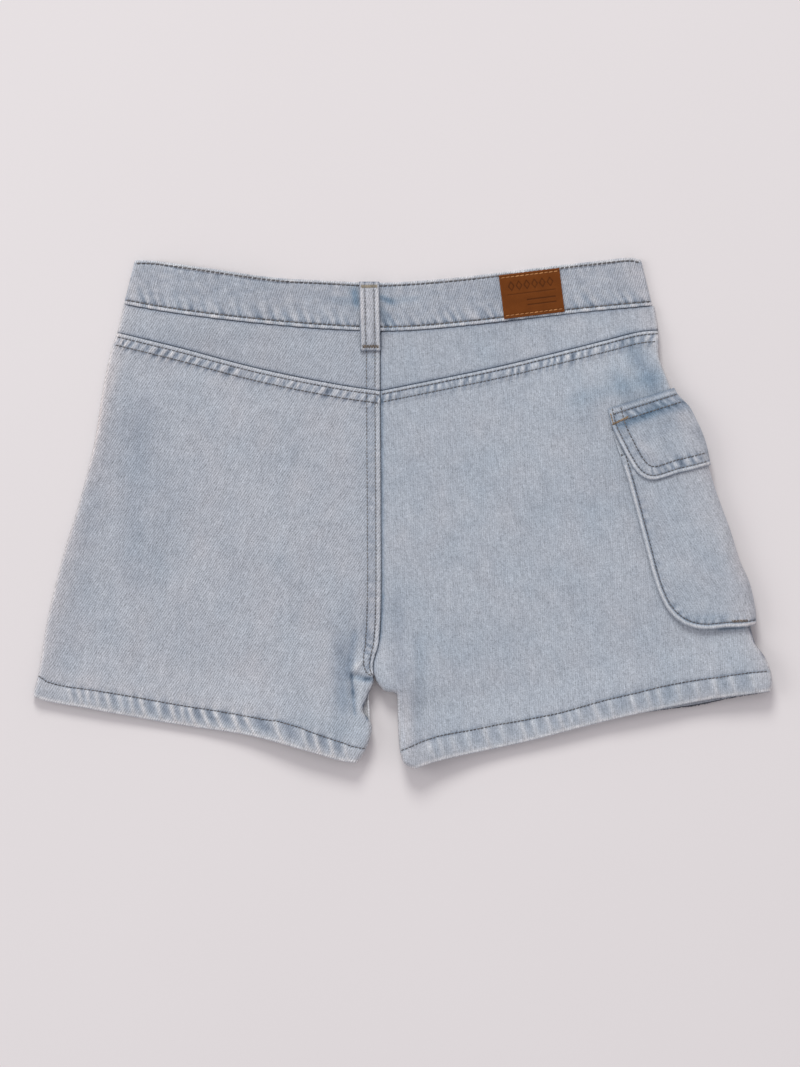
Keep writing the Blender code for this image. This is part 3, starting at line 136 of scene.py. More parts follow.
FRONT_LEFT_INNER = [
    Place("crotch", -18.9, 58.2), Place("inseam", -21.6, 50.0), Place("leg", -21.3, 36.0),
    Place("low leg", -21.4, 24.0), Place("above hem", -24.6, 13.4), Place("hem", -29.6, 5.0)]
CENTRE_FRONT = [
    Place("band", -16.0, 282.0), Place("fly", -16.0, 180.0), Place("crotch", -18.8, 59.4)]

# Pocket and flap: the edge that shows on the back, from the top round to the side of the leg.
FLAP_EDGE = [
    Place("top corner", 130.6, 230.1), Place("back edge", 133.4, 218.6), Place("mid edge", 138.6, 207.7),
    Place("low edge", 144.3, 196.8), Place("corner", 149.6, 189.0), Place("corner foot", 154.6, 185.4),
    Place("corner end", 160.6, 184.4), Place("bottom", 176.6, 189.1)]
POCKET_EDGE = [
    Place("mouth", 139.3, 199.6), Place("under flap", 143.9, 184.6), Place("back edge", 153.8, 147.5),
    Place("low edge", 160.2, 123.2), Place("corner", 164.7, 110.4), Place("corner mid", 170.4, 100.4),
    Place("corner foot", 178.8, 93.2), Place("corner end", 190.1, 89.6), Place("bottom", 208.6, 90.7)]
GUSSET_TOP = Place("gusset top", 134.0, 215.6)

LEG_SPLIT = -11.0                   # x between the legs

POCKET_CORNER = (171.5, 243.5)      # where the flap's top edge meets the side of the leg
POCKET_DOWN = (0.301, -0.9536)      # along the side, towards the hem
POCKET_OUT = (0.9536, 0.301)        # away from the leg
POCKET_REACH = 62.0                 # how far the front half of the pocket reaches in
POCKET_FOOT = 160.4                 # bottom of the pocket, down the side from the corner
FLAP_FOOT = 54.6
LIFT_SPAN = (-4.0, 164.0)           # the lift is full between these distances down the side
LIFT_OUTSIDE = 30.0                 # and to this far outside the leg

# Heights of the pocket's layers over the leg, on the back and on the front half.
Layer = namedtuple("Layer", "piece back_low back_high front_low front_high")
GUSSET_LAYER = Layer("gusset", 0.5, 2.2, 0.5, 1.0)
POCKET_LAYER = Layer("pocket", 2.7, 3.8, 1.4, 2.5)
FLAP_LAYER = Layer("flap", 4.3, 5.5, 3.0, 4.2)
FLAP_SEAM_LAYER = Layer("flap seam", 0.6, 1.8, 0.6, 1.8)
SIDE_BULGE = 0.8                    # the pocket stands off a little more round the side

# Waistband lap, as shares of the band's length from its left end.
LAP_END = 0.12
UNDERLAP_END = 0.225
BUTTON_AT = 0.157
BUTTON_CLEAR = 1.9                  # the button raises the lap this much
BUTTON_FALL = 34.0
LAP_MARGIN = 6.0                    # the lap's extra layers reach this far past its ends, mm
LAP_FALL = 24.0

# Where the back stands off the front: by rise at the place, less around it.
Puff = namedtuple("Puff", "at x y reach rise")
PUFFS = [
    Puff("inner left hem", -50.0, 6.0, 42.0, 2.6), Puff("inner right hem", 16.0, 8.0, 34.0, 2.2),
    Puff("crotch", -10.0, 56.0, 22.0, 2.6)]
SIDE_PUFF = Puff("folded sides", 0.0, 0.0, 9.0, 1.4)
HEM_PUFF = Puff("hems", 0.0, 0.0, 20.0, 0.3)
BAND_NEAR = 3.0                     # within this of the band the back lies at the band's height
BAND_FALL = 34.0
UNDER_BAND = 0.5
PANEL_LAP = 15.0                    # the front leg starts to rise this far before the skirt panel's edge
PANEL_LAP_RUN = 14.0

# Soft ridges (rise > 0) and troughs (rise < 0) that show from a step away.
Fold = namedtuple("Fold", "at x0 y0 x1 y1 half_width rise")
FOLDS = [
    Fold("crotch roll", -23.0, 72.6, -29.4, 66.2, 2.8, 1.4),
    Fold("crotch roll foot", -29.4, 66.2, -32.4, 60.0, 2.6, 1.1),
    Fold("under the roll", -29.0, 59.0, -18.6, 56.4, 2.2, -1.6),
    Fold("inner crease", -32.6, 59.0, -31.7, 46.0, 1.6, -1.3),
    Fold("inner crease foot", -31.7, 46.0, -31.2, 33.0, 2.0, -0.7),
    Fold("inner leg ridge", -26.8, 54.0, -27.6, 40.0, 2.8, 0.7),
    Fold("inner leg swell", -25.5, 26.0, -28.5, 16.0, 4.5, 0.8),
    Fold("beside the roll", -31.0, 84.0, -35.5, 64.0, 5.0, -0.9),
    Fold("beside the crease", -37.5, 60.0, -34.0, 30.0, 3.4, 0.9),
    Fold("left knee trough", -44.0, 66.0, -40.0, 26.0, 4.5, -0.5),
    Fold("left thigh crease", -160.0, 226.0, -158.0, 158.0, 11.0, 1.2),
    Fold("left thigh crease foot", -158.0, 158.0, -174.0, 104.0, 12.0, 0.9),
    Fold("left seat", -92.0, 214.0, -80.0, 120.0, 17.0, 0.9),
    Fold("right inner leg", 6.5, 84.0, 4.6, 18.0, 5.0, 1.2),
    Fold("right seat", 58.0, 210.0, 66.0, 120.0, 18.0, 0.9),
    Fold("right hip", 140.0, 267.0, 158.0, 238.0, 6.0, 1.1),
    Fold("right hip low", 128.0, 252.0, 146.0, 238.0, 6.0, 0.7)]
Fade = namedtuple("Fade", "start run")
QUIET_SIDE = Fade(1.0, 6.0)         # towards a folded side and towards a hem the folds flatten
QUIET_HEM = Fade(3.0, 12.0)
QUIET_LEAST = 0.25

# Roping of the hems: ridges that slant across the hem band.  at is the distance along the hem where
# a ridge meets the stitches, run how much farther along it reaches the edge.
Ridge = namedtuple("Ridge", "at run rise")
RIDGES = {
    "left_hem": [
        Ridge(22.0, 5.0, 0.5), Ridge(28.0, 6.0, 0.6), Ridge(33.5, 5.0, 0.5), Ridge(39.5, 5.0, 0.4),
        Ridge(46.5, 6.0, 0.8), Ridge(54.5, 6.0, 0.5), Ridge(62.0, 5.0, 0.6), Ridge(68.5, 7.0, 0.9),
        Ridge(79.5, 5.5, 0.9), Ridge(88.5, 6.0, 0.9), Ridge(95.5, 4.0, 0.5), Ridge(100.5, 7.0, 1.0),
        Ridge(109.0, 7.5, 1.0), Ridge(117.0, 8.0, 1.0), Ridge(128.5, 7.0, 0.9), Ridge(136.0, 10.0, 1.0),
        Ridge(154.5, 10.0, 1.0), Ridge(173.0, 8.0, 0.6), Ridge(181.0, 8.0, 0.8), Ridge(191.0, 7.0, 0.9),
        Ridge(201.0, 7.0, 0.6)],
    "right_hem": [
        Ridge(13.0, 1.5, 0.4), Ridge(19.5, 1.0, 0.3), Ridge(27.5, 1.0, 0.3), Ridge(37.5, 1.5, 0.4),
        Ridge(49.0, 1.5, 0.5), Ridge(59.5, 1.0, 0.3), Ridge(73.0, 1.0, 0.5), Ridge(80.5, 1.0, 0.4),
        Ridge(90.0, 1.0, 0.4), Ridge(98.0, 1.0, 0.5), Ridge(104.0, 1.0, 0.3), Ridge(110.5, 1.0, 0.3),
        Ridge(121.0, 1.5, 0.5), Ridge(131.0, 1.0, 0.4), Ridge(145.0, 2.0, 0.5), Ridge(155.0, 1.0, 0.4),
        Ridge(162.5, 1.0, 0.5), Ridge(175.0, 1.0, 0.4), Ridge(187.0, 1.0, 0.3), Ridge(198.0, 1.5, 0.5),
        Ridge(209.0, 2.0, 0.4), Ridge(222.0, 2.5, 0.5)]}
RIDGE_BOW = 1.3                     # the ridges slant more near the edge
RIDGE_HALF = 1.8
RIDGE_END = 4.0                     # they rise and fall over this distance at both ends
HEM_SWELL = 0.5


# ---------------------------------------------------------------- plan geometry
def smooth_line(places, step):
    """Points about a step apart on a Catmull-Rom curve through the places."""
    knots = np.array([(p.x, p.y) for p in places], float)
    before = 2 * knots[0] - knots[1]
    after = 2 * knots[-1] - knots[-2]
    knots = np.vstack([before, knots, after])
    line = []
    for a, b, c, d in zip(knots, knots[1:], knots[2:], knots[3:]):
        t1 = math.dist(a, b) ** 0.5
        t2 = t1 + math.dist(b, c) ** 0.5
        t3 = t2 + math.dist(c, d) ** 0.5
        count = max(1, round(math.dist(b, c) / step))
        t = np.linspace(t1, t2, count, endpoint=False)[:, None]
        a1 = (t1 - t) / t1 * a + t / t1 * b
        a2 = (t2 - t) / (t2 - t1) * b + (t - t1) / (t2 - t1) * c
        a3 = (t3 - t) / (t3 - t2) * c + (t - t2) / (t3 - t2) * d
        b1 = (t2 - t) / t2 * a1 + t / t2 * a2
        b2 = (t3 - t) / (t3 - t1) * a2 + (t - t1) / (t3 - t1) * a3
        line.append((t2 - t) / (t2 - t1) * b1 + (t - t1) / (t2 - t1) * b2)
    line.append(knots[-2][None, :])
    return np.vstack(line)


DIRECTION_REACH = 0.8            # a rail's direction is taken over this distance to either side


class Rail:
    """A line in plan that knows distances along it and across it."""

    def __init__(self, points):
        self.points = np.asarray(points, float)
        step = np.diff(self.points, axis=0)
        self.lengths = np.hypot(step[:, 0], step[:, 1])
        self.travel = np.concatenate([[0.0], np.cumsum(self.lengths)])
        self.along = step / self.lengths[:, None]

    @property
    def length(self):
        return self.travel[-1]

    def at(self, travel):
        """Points at distances along the rail."""
        return np.stack([np.interp(travel, self.travel, self.points[:, k]) for k in (0, 1)], axis=-1)

    def normal(self, travel):
        """Unit vectors to the left of travel."""
        ahead = self.at(np.minimum(np.asarray(travel) + DIRECTION_REACH, self.length))
        back = self.at(np.maximum(np.asarray(travel) - DIRECTION_REACH, 0.0))
        way = ahead - back
        way /= np.hypot(way[..., 0], way[..., 1])[..., None]
        return np.stack([-way[..., 1], way[..., 0]], axis=-1)

    def near(self, plan, block=1500):
        """For each plan point: distance along the rail, and distance across it (left is positive)."""
        travel, across = [], []
        for start in range(0, len(plan), block):
            q = plan[start:start + block]
            off = q[:, None, :] - self.points[None, :-1, :]
            share = np.clip((off * self.along).sum(-1), 0.0, self.lengths)
            rest = off - share[..., None] * self.along
            gap = (rest ** 2).sum(-1)
            k = gap.argmin(axis=1)
            row = np.arange(len(q))
            side = self.along[k, 0] * off[row, k, 1] - self.along[k, 1] * off[row, k, 0]
            travel.append(self.travel[k] + share[row, k])
            across.append(np.where(side >= 0, 1.0, -1.0) * np.sqrt(gap[row, k]))
        return np.concatenate(travel), np.concatenate(across)


def rail(places, step=1.5):
    return Rail(smooth_line(places, step))


def soft_step(x):
    """0 below 0, 1 above 1, smooth between."""
    x = np.clip(x, 0.0, 1.0)
    return x * x * (3 - 2 * x)


def round_off(share):
    """A quarter circle: 0 at 0, 1 from 1 on."""
    return np.sqrt(np.clip(1 - (1 - np.clip(share, 0, 1)) ** 2, 0, 1))


def bump_at(d, at, half_width):
    return np.exp(-((d - at) / half_width) ** 2)


def inside(polygon, plan):
    """Which plan points lie inside a closed polygon."""
    a = polygon
    b = np.roll(polygon, -1, axis=0)
    result = np.zeros(len(plan), bool)
    for (x0, y0), (x1, y1) in zip(a, b):
        crosses = (y0 > plan[:, 1]) != (y1 > plan[:, 1])
        if y0 != y1:
            reach = (x1 - x0) * (plan[:, 1] - y0) / (y1 - y0) + x0
            result ^= crosses & (plan[:, 0] < reach)
    return result


R = {name: rail(places) for name, places in {
    "band_top": BAND_TOP, "band_low": BAND_LOW, "left_side": LEFT_SIDE, "right_side": RIGHT_SIDE,
    "yoke_left": YOKE_LEFT_LOW, "yoke_right": YOKE_RIGHT_LOW, "centre_back": CENTRE_BACK,
    "left_inner": LEFT_INNER, "right_inner": RIGHT_INNER, "left_hem": LEFT_HEM, "right_hem": RIGHT_HEM,
    "skirt_hem": SKIRT_HEM, "free_edge": FREE_EDGE, "front_left_inner": FRONT_LEFT_INNER,
    "centre_front": CENTRE_FRONT}.items()}


# ---------------------------------------------------------------- the stack of layers
def pocket_frame(plan):
    """Distances down the side and in from the side, of plan points near the pocket."""
    off = plan - np.array(POCKET_CORNER)
    return off @ np.array(POCKET_DOWN), -(off @ np.array(POCKET_OUT))


def from_pocket_frame(down, inward):
    return (np.array(POCKET_CORNER) + np.multiply.outer(down, POCKET_DOWN)
            - np.multiply.outer(inward, POCKET_OUT))


SIDE_DOWN, SIDE_IN = pocket_frame(R["right_side"].points)


def side_edge(down):
    """How far in the leg's own edge lies, at distances down the side."""
    return np.interp(down, SIDE_DOWN, SIDE_IN)


def button_centre():
    top = R["band_top"].at(BUTTON_AT * R["band_top"].length)
    low = R["band_low"].at(BUTTON_AT * R["band_low"].length)
    return (top + low) / 2


def lift(plan):
    """Underside of the outermost cloth: 0 on the table, raised by pocket, flap and button."""
    down, inward = pocket_frame(plan)
    far_down = np.maximum(np.maximum(LIFT_SPAN[0] - down, down - LIFT_SPAN[1]), 0.0)
    far_in = np.maximum(np.maximum(inward - POCKET_REACH, -LIFT_OUTSIDE - inward), 0.0)
    over_pocket = 1 - soft_step(np.hypot(far_down, far_in) / LIFT_FALL)
    off = plan - button_centre()
    past_button = np.hypot(off[:, 0], off[:, 1]) - BUTTON_RADIUS - BUTTON_CLEAR
    over_button = 1 - soft_step(past_button / BUTTON_FALL)
    return LIFT * over_pocket + BUTTON_CLEAR * over_button


def hem_distance(plan):
    """Distance above the hem of the nearer leg."""
    left = R["left_hem"].near(plan)[1]
    right = R["right_hem"].near(plan)[1]
    return np.where(plan[:, 0] < LEG_SPLIT, left, right)


def edge_distance(plan):
    """Distance from the folded sides of the legs."""
    return np.min([np.abs(R[k].near(plan)[1]) for k in
                   ("left_side", "right_side", "left_inner", "right_inner")], axis=0)


def lap_share(plan):
    """1 where the waistband's lap has three layers, fading to 0 beside it."""
    start = R["band_top"].at(LAP_END * R["band_top"].length)[0]
    end = R["band_top"].at(UNDERLAP_END * R["band_top"].length)[0]
    beyond = np.maximum(np.maximum(start - plan[:, 0], plan[:, 0] - end) - LAP_MARGIN, 0.0)
    return 1 - soft_step(beyond / LAP_FALL)


def stack(plan):
    """Heights of every layer's lower and upper face at plan points."""
    low = lift(plan)
    hem = hem_distance(plan)
    hem_ply = HEM_PLY * (1 - soft_step((hem - HEM_HEIGHT) / HEM_FALL))
    cover = soft_step((PANEL_LAP - R["free_edge"].near(plan)[1]) / PANEL_LAP_RUN)
    z = {"skirt_low": low, "skirt_high": low + CLOTH + hem_ply}
    z["front_low"] = low + cover * (CLOTH + hem_ply + PLY_GAP)
    z["front_high"] = z["front_low"] + CLOTH + hem_ply
    gap = BODY_GAP + SIDE_PUFF.rise * np.exp(-(edge_distance(plan) / SIDE_PUFF.reach) ** 2)
    gap += HEM_PUFF.rise * np.exp(-(np.maximum(hem, 0) / HEM_PUFF.reach) ** 2)
    for puff in PUFFS:
        gap += puff.rise * np.exp(-np.hypot(plan[:, 0] - puff.x, plan[:, 1] - puff.y) ** 2 / puff.reach ** 2)
    below_band = np.abs(R["band_low"].near(plan)[1])
    waist = 1 - soft_step((below_band - BAND_NEAR) / BAND_FALL)
    band_back = low + BAND_WALL + BODY_GAP + lap_share(plan) * (BAND_WALL + PLY_GAP)
    z["band_back_low"] = band_back
    leg_back = z["front_high"] + gap
    z["back_low"] = leg_back + waist * (band_back + UNDER_BAND - leg_back)
    z["back_high"] = z["back_low"] + CLOTH + hem_ply
    return z


PAST_END = 2.0                   # a fold or shade fades past its ends over this many of its half widths


def soft_line(plan, mark):
    """1 on the line of a fold or shade, fading with the distance from it."""
    a = np.array((mark.x0, mark.y0))
    way = np.array((mark.x1, mark.y1)) - a
    length = np.hypot(*way)
    off = plan - a
    run = (off @ way) / length
    across = (off[:, 0] * way[1] - off[:, 1] * way[0]) / length
    past = np.maximum(np.maximum(-run, run - length), 0.0)
    return np.exp(-(across / mark.half_width) ** 2 - (past / (PAST_END * mark.half_width)) ** 2)


def fold_relief(plan):
    """The soft ridges and troughs of the back."""
    total = sum(fold.rise * soft_line(plan, fold) for fold in FOLDS)
    quiet = soft_step((edge_distance(plan) - QUIET_SIDE.start) / QUIET_SIDE.run)
    quiet *= soft_step((hem_distance(plan) - QUIET_HEM.start) / QUIET_HEM.run)
    return total * (QUIET_LEAST + (1 - QUIET_LEAST) * quiet)


def slant_share(height):
    """How much of its run a ridge has made at a height over the edge: 1 at the edge."""
    return np.clip(1 - height / HEM_HEIGHT, 0, 1) ** RIDGE_BOW


def roping_relief(plan, hem):
    """The ridges of a hem, over a soft swell."""
    travel, height = R[hem].near(plan)
    crests = [ridge.rise * np.exp(-((travel - ridge.at - ridge.run * slant_share(height)) / RIDGE_HALF) ** 2)
              for ridge in RIDGES[hem]]
    band = soft_step(height / RIDGE_END) * (1 - soft_step((height - HEM_HEIGHT + RIDGE_END) / RIDGE_END))
    swell = HEM_SWELL * np.sin(math.pi * np.clip(height / HEM_HEIGHT, 0, 1))
    return (sum(crests) + swell) * band


# ---------------------------------------------------------------- fine detail, mm
FINE = 1.5      # spacing of points on the back, which shows
MEDIUM = 3.4                           # the same on the front, which lies on the table
STITCH = 2.4                           # from one stitch to the next
BAND_STITCH = 3.0
THREAD = 0.38                          # radius of the thread
FRONT_ROW = 13.0                       # stitches over the edge of a hem on the front
BAND_ROW_TOP = 2.0                     # the rows of stitches lie this far in from their edges
BAND_ROW_LOW = 2.9
POCKET_ROW = 2.9
FLAP_ROWS = (2.9, 8.4)
FLAP_TOP_DROP = 1.6                    # along its top edge the rows lie this much further in
HEM_ROWS = {                           # distances along a hem, and how far over its edge its stitches lie
    "left_hem": [(0, 12.2), (22, 11.5), (50, 12.5), (66, 12.7), (110, 12.3), (135, 11.7), (147, 11.9),
                 (156, 13.2), (171, 13.2), (183, 12.0), (200, 11.6), (213, 9.8)],
    "right_hem": [(0, 14.2), (20, 15.5), (40, 14.6), (60, 14.5), (80, 13.4), (100, 12.4), (130, 13.1),
                  (150, 13.2), (165, 13.9), (185, 13.7), (200, 13.0), (220, 13.6), (233, 13.0)]}

# a seam's line is how dark the painted shade is along its edge, under the raised fell, and along its rows'
# grooves
Seam = namedtuple("Seam", "rail rows pitch seed gather line")   # gathers between its rows, and dark lines
YOKE_LEFT_SEAM = Seam("yoke_left", (2.7, 8.0), 5.8, 0.4, 1.1, 0.5)
YOKE_RIGHT_SEAM = Seam("yoke_right", (2.2, 7.2), 5.9, 2.6, 1.0, 0.75)
CENTRE_SEAM = Seam("centre_back", (3.4, 8.8), 8.4, 4.1, 0.14, 0.45)
SEAT_END = 58.0                  # the seat seam's rows are darker, and gathered, over this length at its foot

# Places along short lines that are darker (tone < 0) or paler (tone > 0), and how much more of the dye is
# left in them, or less.  The darker tone in creases, hollows and folds and under edges and rows is painted
# shade, the paler tone on the crotch roll, the inner leg ridge and along the outlines is painted light, and
# the rest is the cloth's own uneven tone.
Shade = namedtuple("Shade", "at x0 y0 x1 y1 half_width tone dye")
SHADES = [
    Shade("band left of loop", -30.8, 303.4, -30.0, 299.8, 2.4, -0.6, 1.7),
    Shade("band left of loop, low", -42.0, 300.0, -33.0, 298.4, 2.6, -0.15, 0.5),
    Shade("band right of loop", -13.0, 301.0, -8.6, 299.0, 1.8, -0.6, 1.6),
    Shade("band right of loop, far", -6.0, 299.6, 8.0, 300.3, 2.0, -0.1, 0.5),
    Shade("band right of loop, low", -12.8, 292.0, -8.6, 284.5, 2.2, -0.4, 0.8),
    Shade("left crease", -160.0, 226.0, -158.0, 158.0, 15.0, -0.1, 0.1),
    Shade("left flank", -169.0, 222.0, -174.0, 130.0, 10.0, -0.2, 0.1),
    Shade("left side", -190.0, 200.0, -216.0, 80.0, 11.0, -0.13, 0.0),
    Shade("left outline", -176.0, 306.0, -230.0, 72.0, 7.0, 0.08, -0.45),
    Shade("left outline, high", -175.0, 304.0, -186.0, 256.0, 6.0, 0.09, -0.1),
    Shade("left yoke", -166.0, 288.0, -70.0, 284.0, 5.0, 0.05, 0.0),
    Shade("right yoke, far", 104.0, 283.0, 150.0, 283.0, 6.0, 0.05, -0.1),
    Shade("along the seat seam", -20.5, 223.0, -20.5, 108.0, 4.0, -0.07, 0.0),
    Shade("right outline, high", 150.0, 316.0, 160.0, 276.0, 7.0, 0.0, -0.4),
    Shade("right outline", 178.0, 232.0, 216.0, 130.0, 8.0, 0.06, -0.45),
    Shade("right outline, low", 218.0, 122.0, 230.0, 64.0, 9.0, 0.0, -0.6),
    Shade("left hem", -220.0, 58.0, -98.0, 36.0, 6.0, 0.03, -0.25),
    Shade("left edge", -188.0, 250.0, -200.0, 205.0, 5.0, 0.2, -0.3),
    Shade("left of the seat seam", -34.0, 110.0, -40.0, 30.0, 7.0, -0.08, 0.2),
    Shade("beside the roll", -31.0, 84.0, -34.5, 62.0, 2.6, -0.45, 0.35),
    Shade("left of the roll", -40.0, 74.0, -39.0, 46.0, 6.0, -0.45, 0.2),
    Shade("band left", -165.0, 312.0, -55.0, 302.0, 9.0, -0.09, 0.0),
    Shade("band middle", 34.0, 302.0, 58.0, 306.0, 8.0, -0.16, 0.0),
    Shade("over the flap's corner", 140.0, 245.4, 146.0, 236.0, 6.0, -0.3, 0.4),
    Shade("between the seat rows' ends", -23.5, 92.0, -22.0, 70.0, 3.0, -0.35, 0.1),
    # crotch roll and inner leg ridge: painted highlight; under the roll and the seam's end, in the inner
    # crease and along the inner edge: painted shade
    Shade("crotch roll", -24.5, 70.0, -29.6, 65.5, 1.6, 0.55, 0.0),
    Shade("crotch roll foot", -29.6, 66.0, -30.6, 57.0, 1.4, 0.5, 0.0),
    Shade("under the roll", -29.4, 58.4, -19.6, 56.6, 2.1, -0.65, 0.6),
    Shade("under the seam's end", -24.0, 57.4, -19.2, 58.4, 1.0, -0.7, 0.4),
    Shade("inner crease", -32.8, 59.0, -32.0, 49.0, 0.9, -0.8, 0.5),
    Shade("inner crease foot", -32.0, 49.0, -30.8, 36.0, 1.1, -0.5, 0.5),
    Shade("inner edge", -21.4, 48.6, -24.4, 41.3, 0.8, -1.5, 0.4),
    Shade("inner edge foot", -25.0, 39.5, -22.8, 32.0, 0.8, -1.5, 0.4),
    Shade("inner leg ridge", -26.8, 54.0, -28.4, 40.0, 1.8, 0.3, 0.0),
    Shade("above the left hem", -60.0, 30.0, -30.0, 22.0, 7.0, 0.0, 0.3),
    Shade("right inseam", 0.5, 46.0, 3.0, 16.0, 3.4, 0.16, -0.2),
    Shade("right inseam, wide", 0.0, 66.0, 7.0, 14.0, 9.0, -0.06, -0.35),
    Shade("right of the seam's end", -4.0, 104.0, -0.5, 54.0, 6.0, -0.26, 0.15),
    Shade("beside the inseam", 11.0, 80.0, 10.0, 22.0, 4.5, -0.12, 0.35),
    Shade("right hip", 149.0, 264.0, 158.0, 248.0, 7.0, -0.5, 0.7),
    Shade("above the flap", 118.0, 238.0, 160.0, 250.0, 5.0, -0.1, 0.4),
    Shade("under the flap's rows", 141.0, 220.4, 157.0, 226.6, 2.5, -0.4, 1.1),
    Shade("right end of the flap's rows", 163.0, 230.0, 178.0, 232.0, 4.0, -0.3, 0.6),
    Shade("left of the flap's face", 152.0, 206.0, 158.0, 200.0, 4.0, 0.15, -0.2),
    # side fold and under the pocket's foot: painted shade in the fold and under the edge
    Shade("side fold", 221.4, 90.0, 224.6, 81.5, 0.8, -1.5, -0.2),
    Shade("side fold, low", 224.6, 81.5, 230.4, 71.5, 0.8, -1.0, -0.2),
    Shade("under the pocket's foot", 203.0, 89.4, 217.0, 90.2, 1.0, -0.6, 0.8),
    Shade("over the pocket's foot", 186.0, 96.0, 205.0, 97.0, 3.0, -0.2, 0.3),
    Shade("beside the seat seam", -13.2, 236.0, -12.7, 110.0, 1.0, -0.2, 0.5),
    Shade("beside the low seat seam", -12.7, 110.0, -14.6, 84.0, 1.0, -0.3, 0.6)]

# Where the back stands higher or lower than the plain stack, and casts a longer or shorter shadow.
STANDS = [
    Puff("inner left hem", -62.0, 8.0, 48.0, 4.6), Puff("inner right hem", 8.0, 8.0, 24.0, 3.4),
    Puff("crotch", -6.0, 54.0, 24.0, 4.2), Puff("left hem, low", -143.0, 24.0, 26.0, -0.8),
    Puff("outer left hem", -204.0, 34.0, 30.0, 1.4), Puff("right hem, low", 62.0, 14.0, 22.0, -0.8),
    Puff("right hem", 134.0, 32.0, 28.0, 0.6), Puff("outer right hem", 222.0, 50.0, 22.0, 2.6)]
FRONT_SHARE = 0.85               # the front rises with the back by this share


def stand(plan):
    return sum(p.rise * np.exp(-((plan[:, 0] - p.x) ** 2 + (plan[:, 1] - p.y) ** 2) / p.reach ** 2)
               for p in STANDS)


def front_stand(plan):
    return FRONT_SHARE * np.maximum(stand(plan), 0.0)


def shade(plan):
    """Tone and dye of the places along short lines; much of the tone is painted shade and painted light."""
    shares = [soft_line(plan, mark) for mark in SHADES]
    return (sum(mark.tone * share for mark, share in zip(SHADES, shares)),
            sum(mark.dye * share for mark, share in zip(SHADES, shares)))


def waves(plan, size, seed):
    """Smooth noise from -1 to 1 with features about a size apart."""
    return np.array([noise.noise((x / size, y / size, seed)) for x, y in plan])


Wave = namedtuple("Wave", "size weight seed")
LIE = [Wave(46.0, 0.55, 0.0), Wave(17.0, 0.26, 9.0), Wave(6.0, 0.07, 17.0)]
FLAT_SIDE = Fade(1.0, 8.0)       # the cloth lies flatter by its folded sides
FLAT_LEAST = 0.3


def crumple(plan, seed):
    """The uneven lie of washed cloth."""
    quiet = FLAT_LEAST + 0.7 * soft_step((edge_distance(plan) - FLAT_SIDE.start) / FLAT_SIDE.run)
    return quiet * sum(wave.weight * waves(plan, wave.size, seed + wave.seed) for wave in LIE)


def pucker(travel, pitch, seed):
    """Uneven gathers along a row of stitches, from about -1 to 1."""
    spots = np.arange(np.min(travel) - pitch, np.max(travel) + 2 * pitch, pitch / 4)
    drift, force = [np.interp(travel, spots, [noise.noise((s / (size * pitch), seed, size)) for s in spots])
                    for size in (2.1, 1.6)]
    return np.clip(0.72 + 1.1 * force, 0.15, 1.3) * np.cos(2 * math.pi * (travel / pitch + 0.8 * drift))


BLUE_KEPT = 0.4
BLUE_WORN = 0.25


def left_blue(tone):
    """Dye by tone: hollows keep theirs, and worn edges are nearly white."""
    return BLUE_KEPT * np.clip(-tone, 0.0, 0.8) - BLUE_WORN * np.clip(tone, 0.0, 1.2)


Close = namedtuple("Close", "left share")
CLOSING = [                      # left to the seat seam's end, and share of their distance that its rows keep
    Close(0.0, 0.15), Close(2.5, 0.5), Close(6.5, 0.68), Close(13.0, 0.86), Close(24.0, 1.0)]


def closing(rail_name, travel):
    """Share of their distance that a seam's rows keep: they close up where the seat seam ends."""
    if rail_name != "centre_back":
        return np.ones(len(travel))
    return np.interp(R[rail_name].length - travel, *zip(*CLOSING))


# the dark line of a row, or at a seam's edge, is painted shade in its groove or under the fell
GROOVE = 0.55                    # half widths of the groove that a row pulls, and of its dark line
DARK_LINE = 0.62
SEAM_SPREAD = 3.2                # puckers fade over this distance past a seam, and past a single row
ROW_SPREAD = 3.4
SEAT_GATHER = 0.35               # what the foot of the seat seam has more of
SEAT_LINE = 0.45


def seam_detail(d, travel, seam):
    """Relief and tone of a felled seam, at distances from its edge and along it."""
    first, second = seam.rows
    d = d / closing(seam.rail, travel)
    if seam is CENTRE_SEAM:
        foot = soft_step((travel - R[seam.rail].length + SEAT_END) / SEAT_END)
        seam = seam._replace(gather=seam.gather + SEAT_GATHER * foot, line=seam.line + SEAT_LINE * foot)
    gather = seam.gather * pucker(travel + 0.45 * d, seam.pitch, seam.seed)
    short = pucker(travel - 0.15 * d, 0.57 * seam.pitch, seam.seed + 2.0) * (0.3 + 0.7 * seam.gather)
    between = np.sin(math.pi * np.clip((d - first) / (second - first), 0, 1)) ** 0.7
    outside = np.exp(-(np.clip(d - second, 0, None) / SEAM_SPREAD) ** 2) * (d > second)
    lip = bump_at(d, 0.52 * first, 0.4 * first)
    line = bump_at(d, 0.0, DARK_LINE)
    relief = ((0.2 + 0.1 * short) * lip - 0.5 * line - 0.34 * bump_at(d, first, GROOVE)
              - 0.34 * bump_at(d, second, GROOVE)
              + (0.08 + 0.42 * gather) * between + 0.25 * gather * outside)
    # the dark lines at the seam's edge and at its rows are painted shade, under the fell and in the grooves
    tone = ((0.36 + 0.3 * short) * lip + (0.85 * gather + 0.3 * short - 0.12) * between
            + (0.5 * gather - 0.1) * outside - seam.line * line - seam.line * bump_at(d, first, DARK_LINE)
            - (0.8 * seam.line - 0.25 * gather) * bump_at(d, second, DARK_LINE))
    return relief, tone


ROW_GROOVE = 0.6


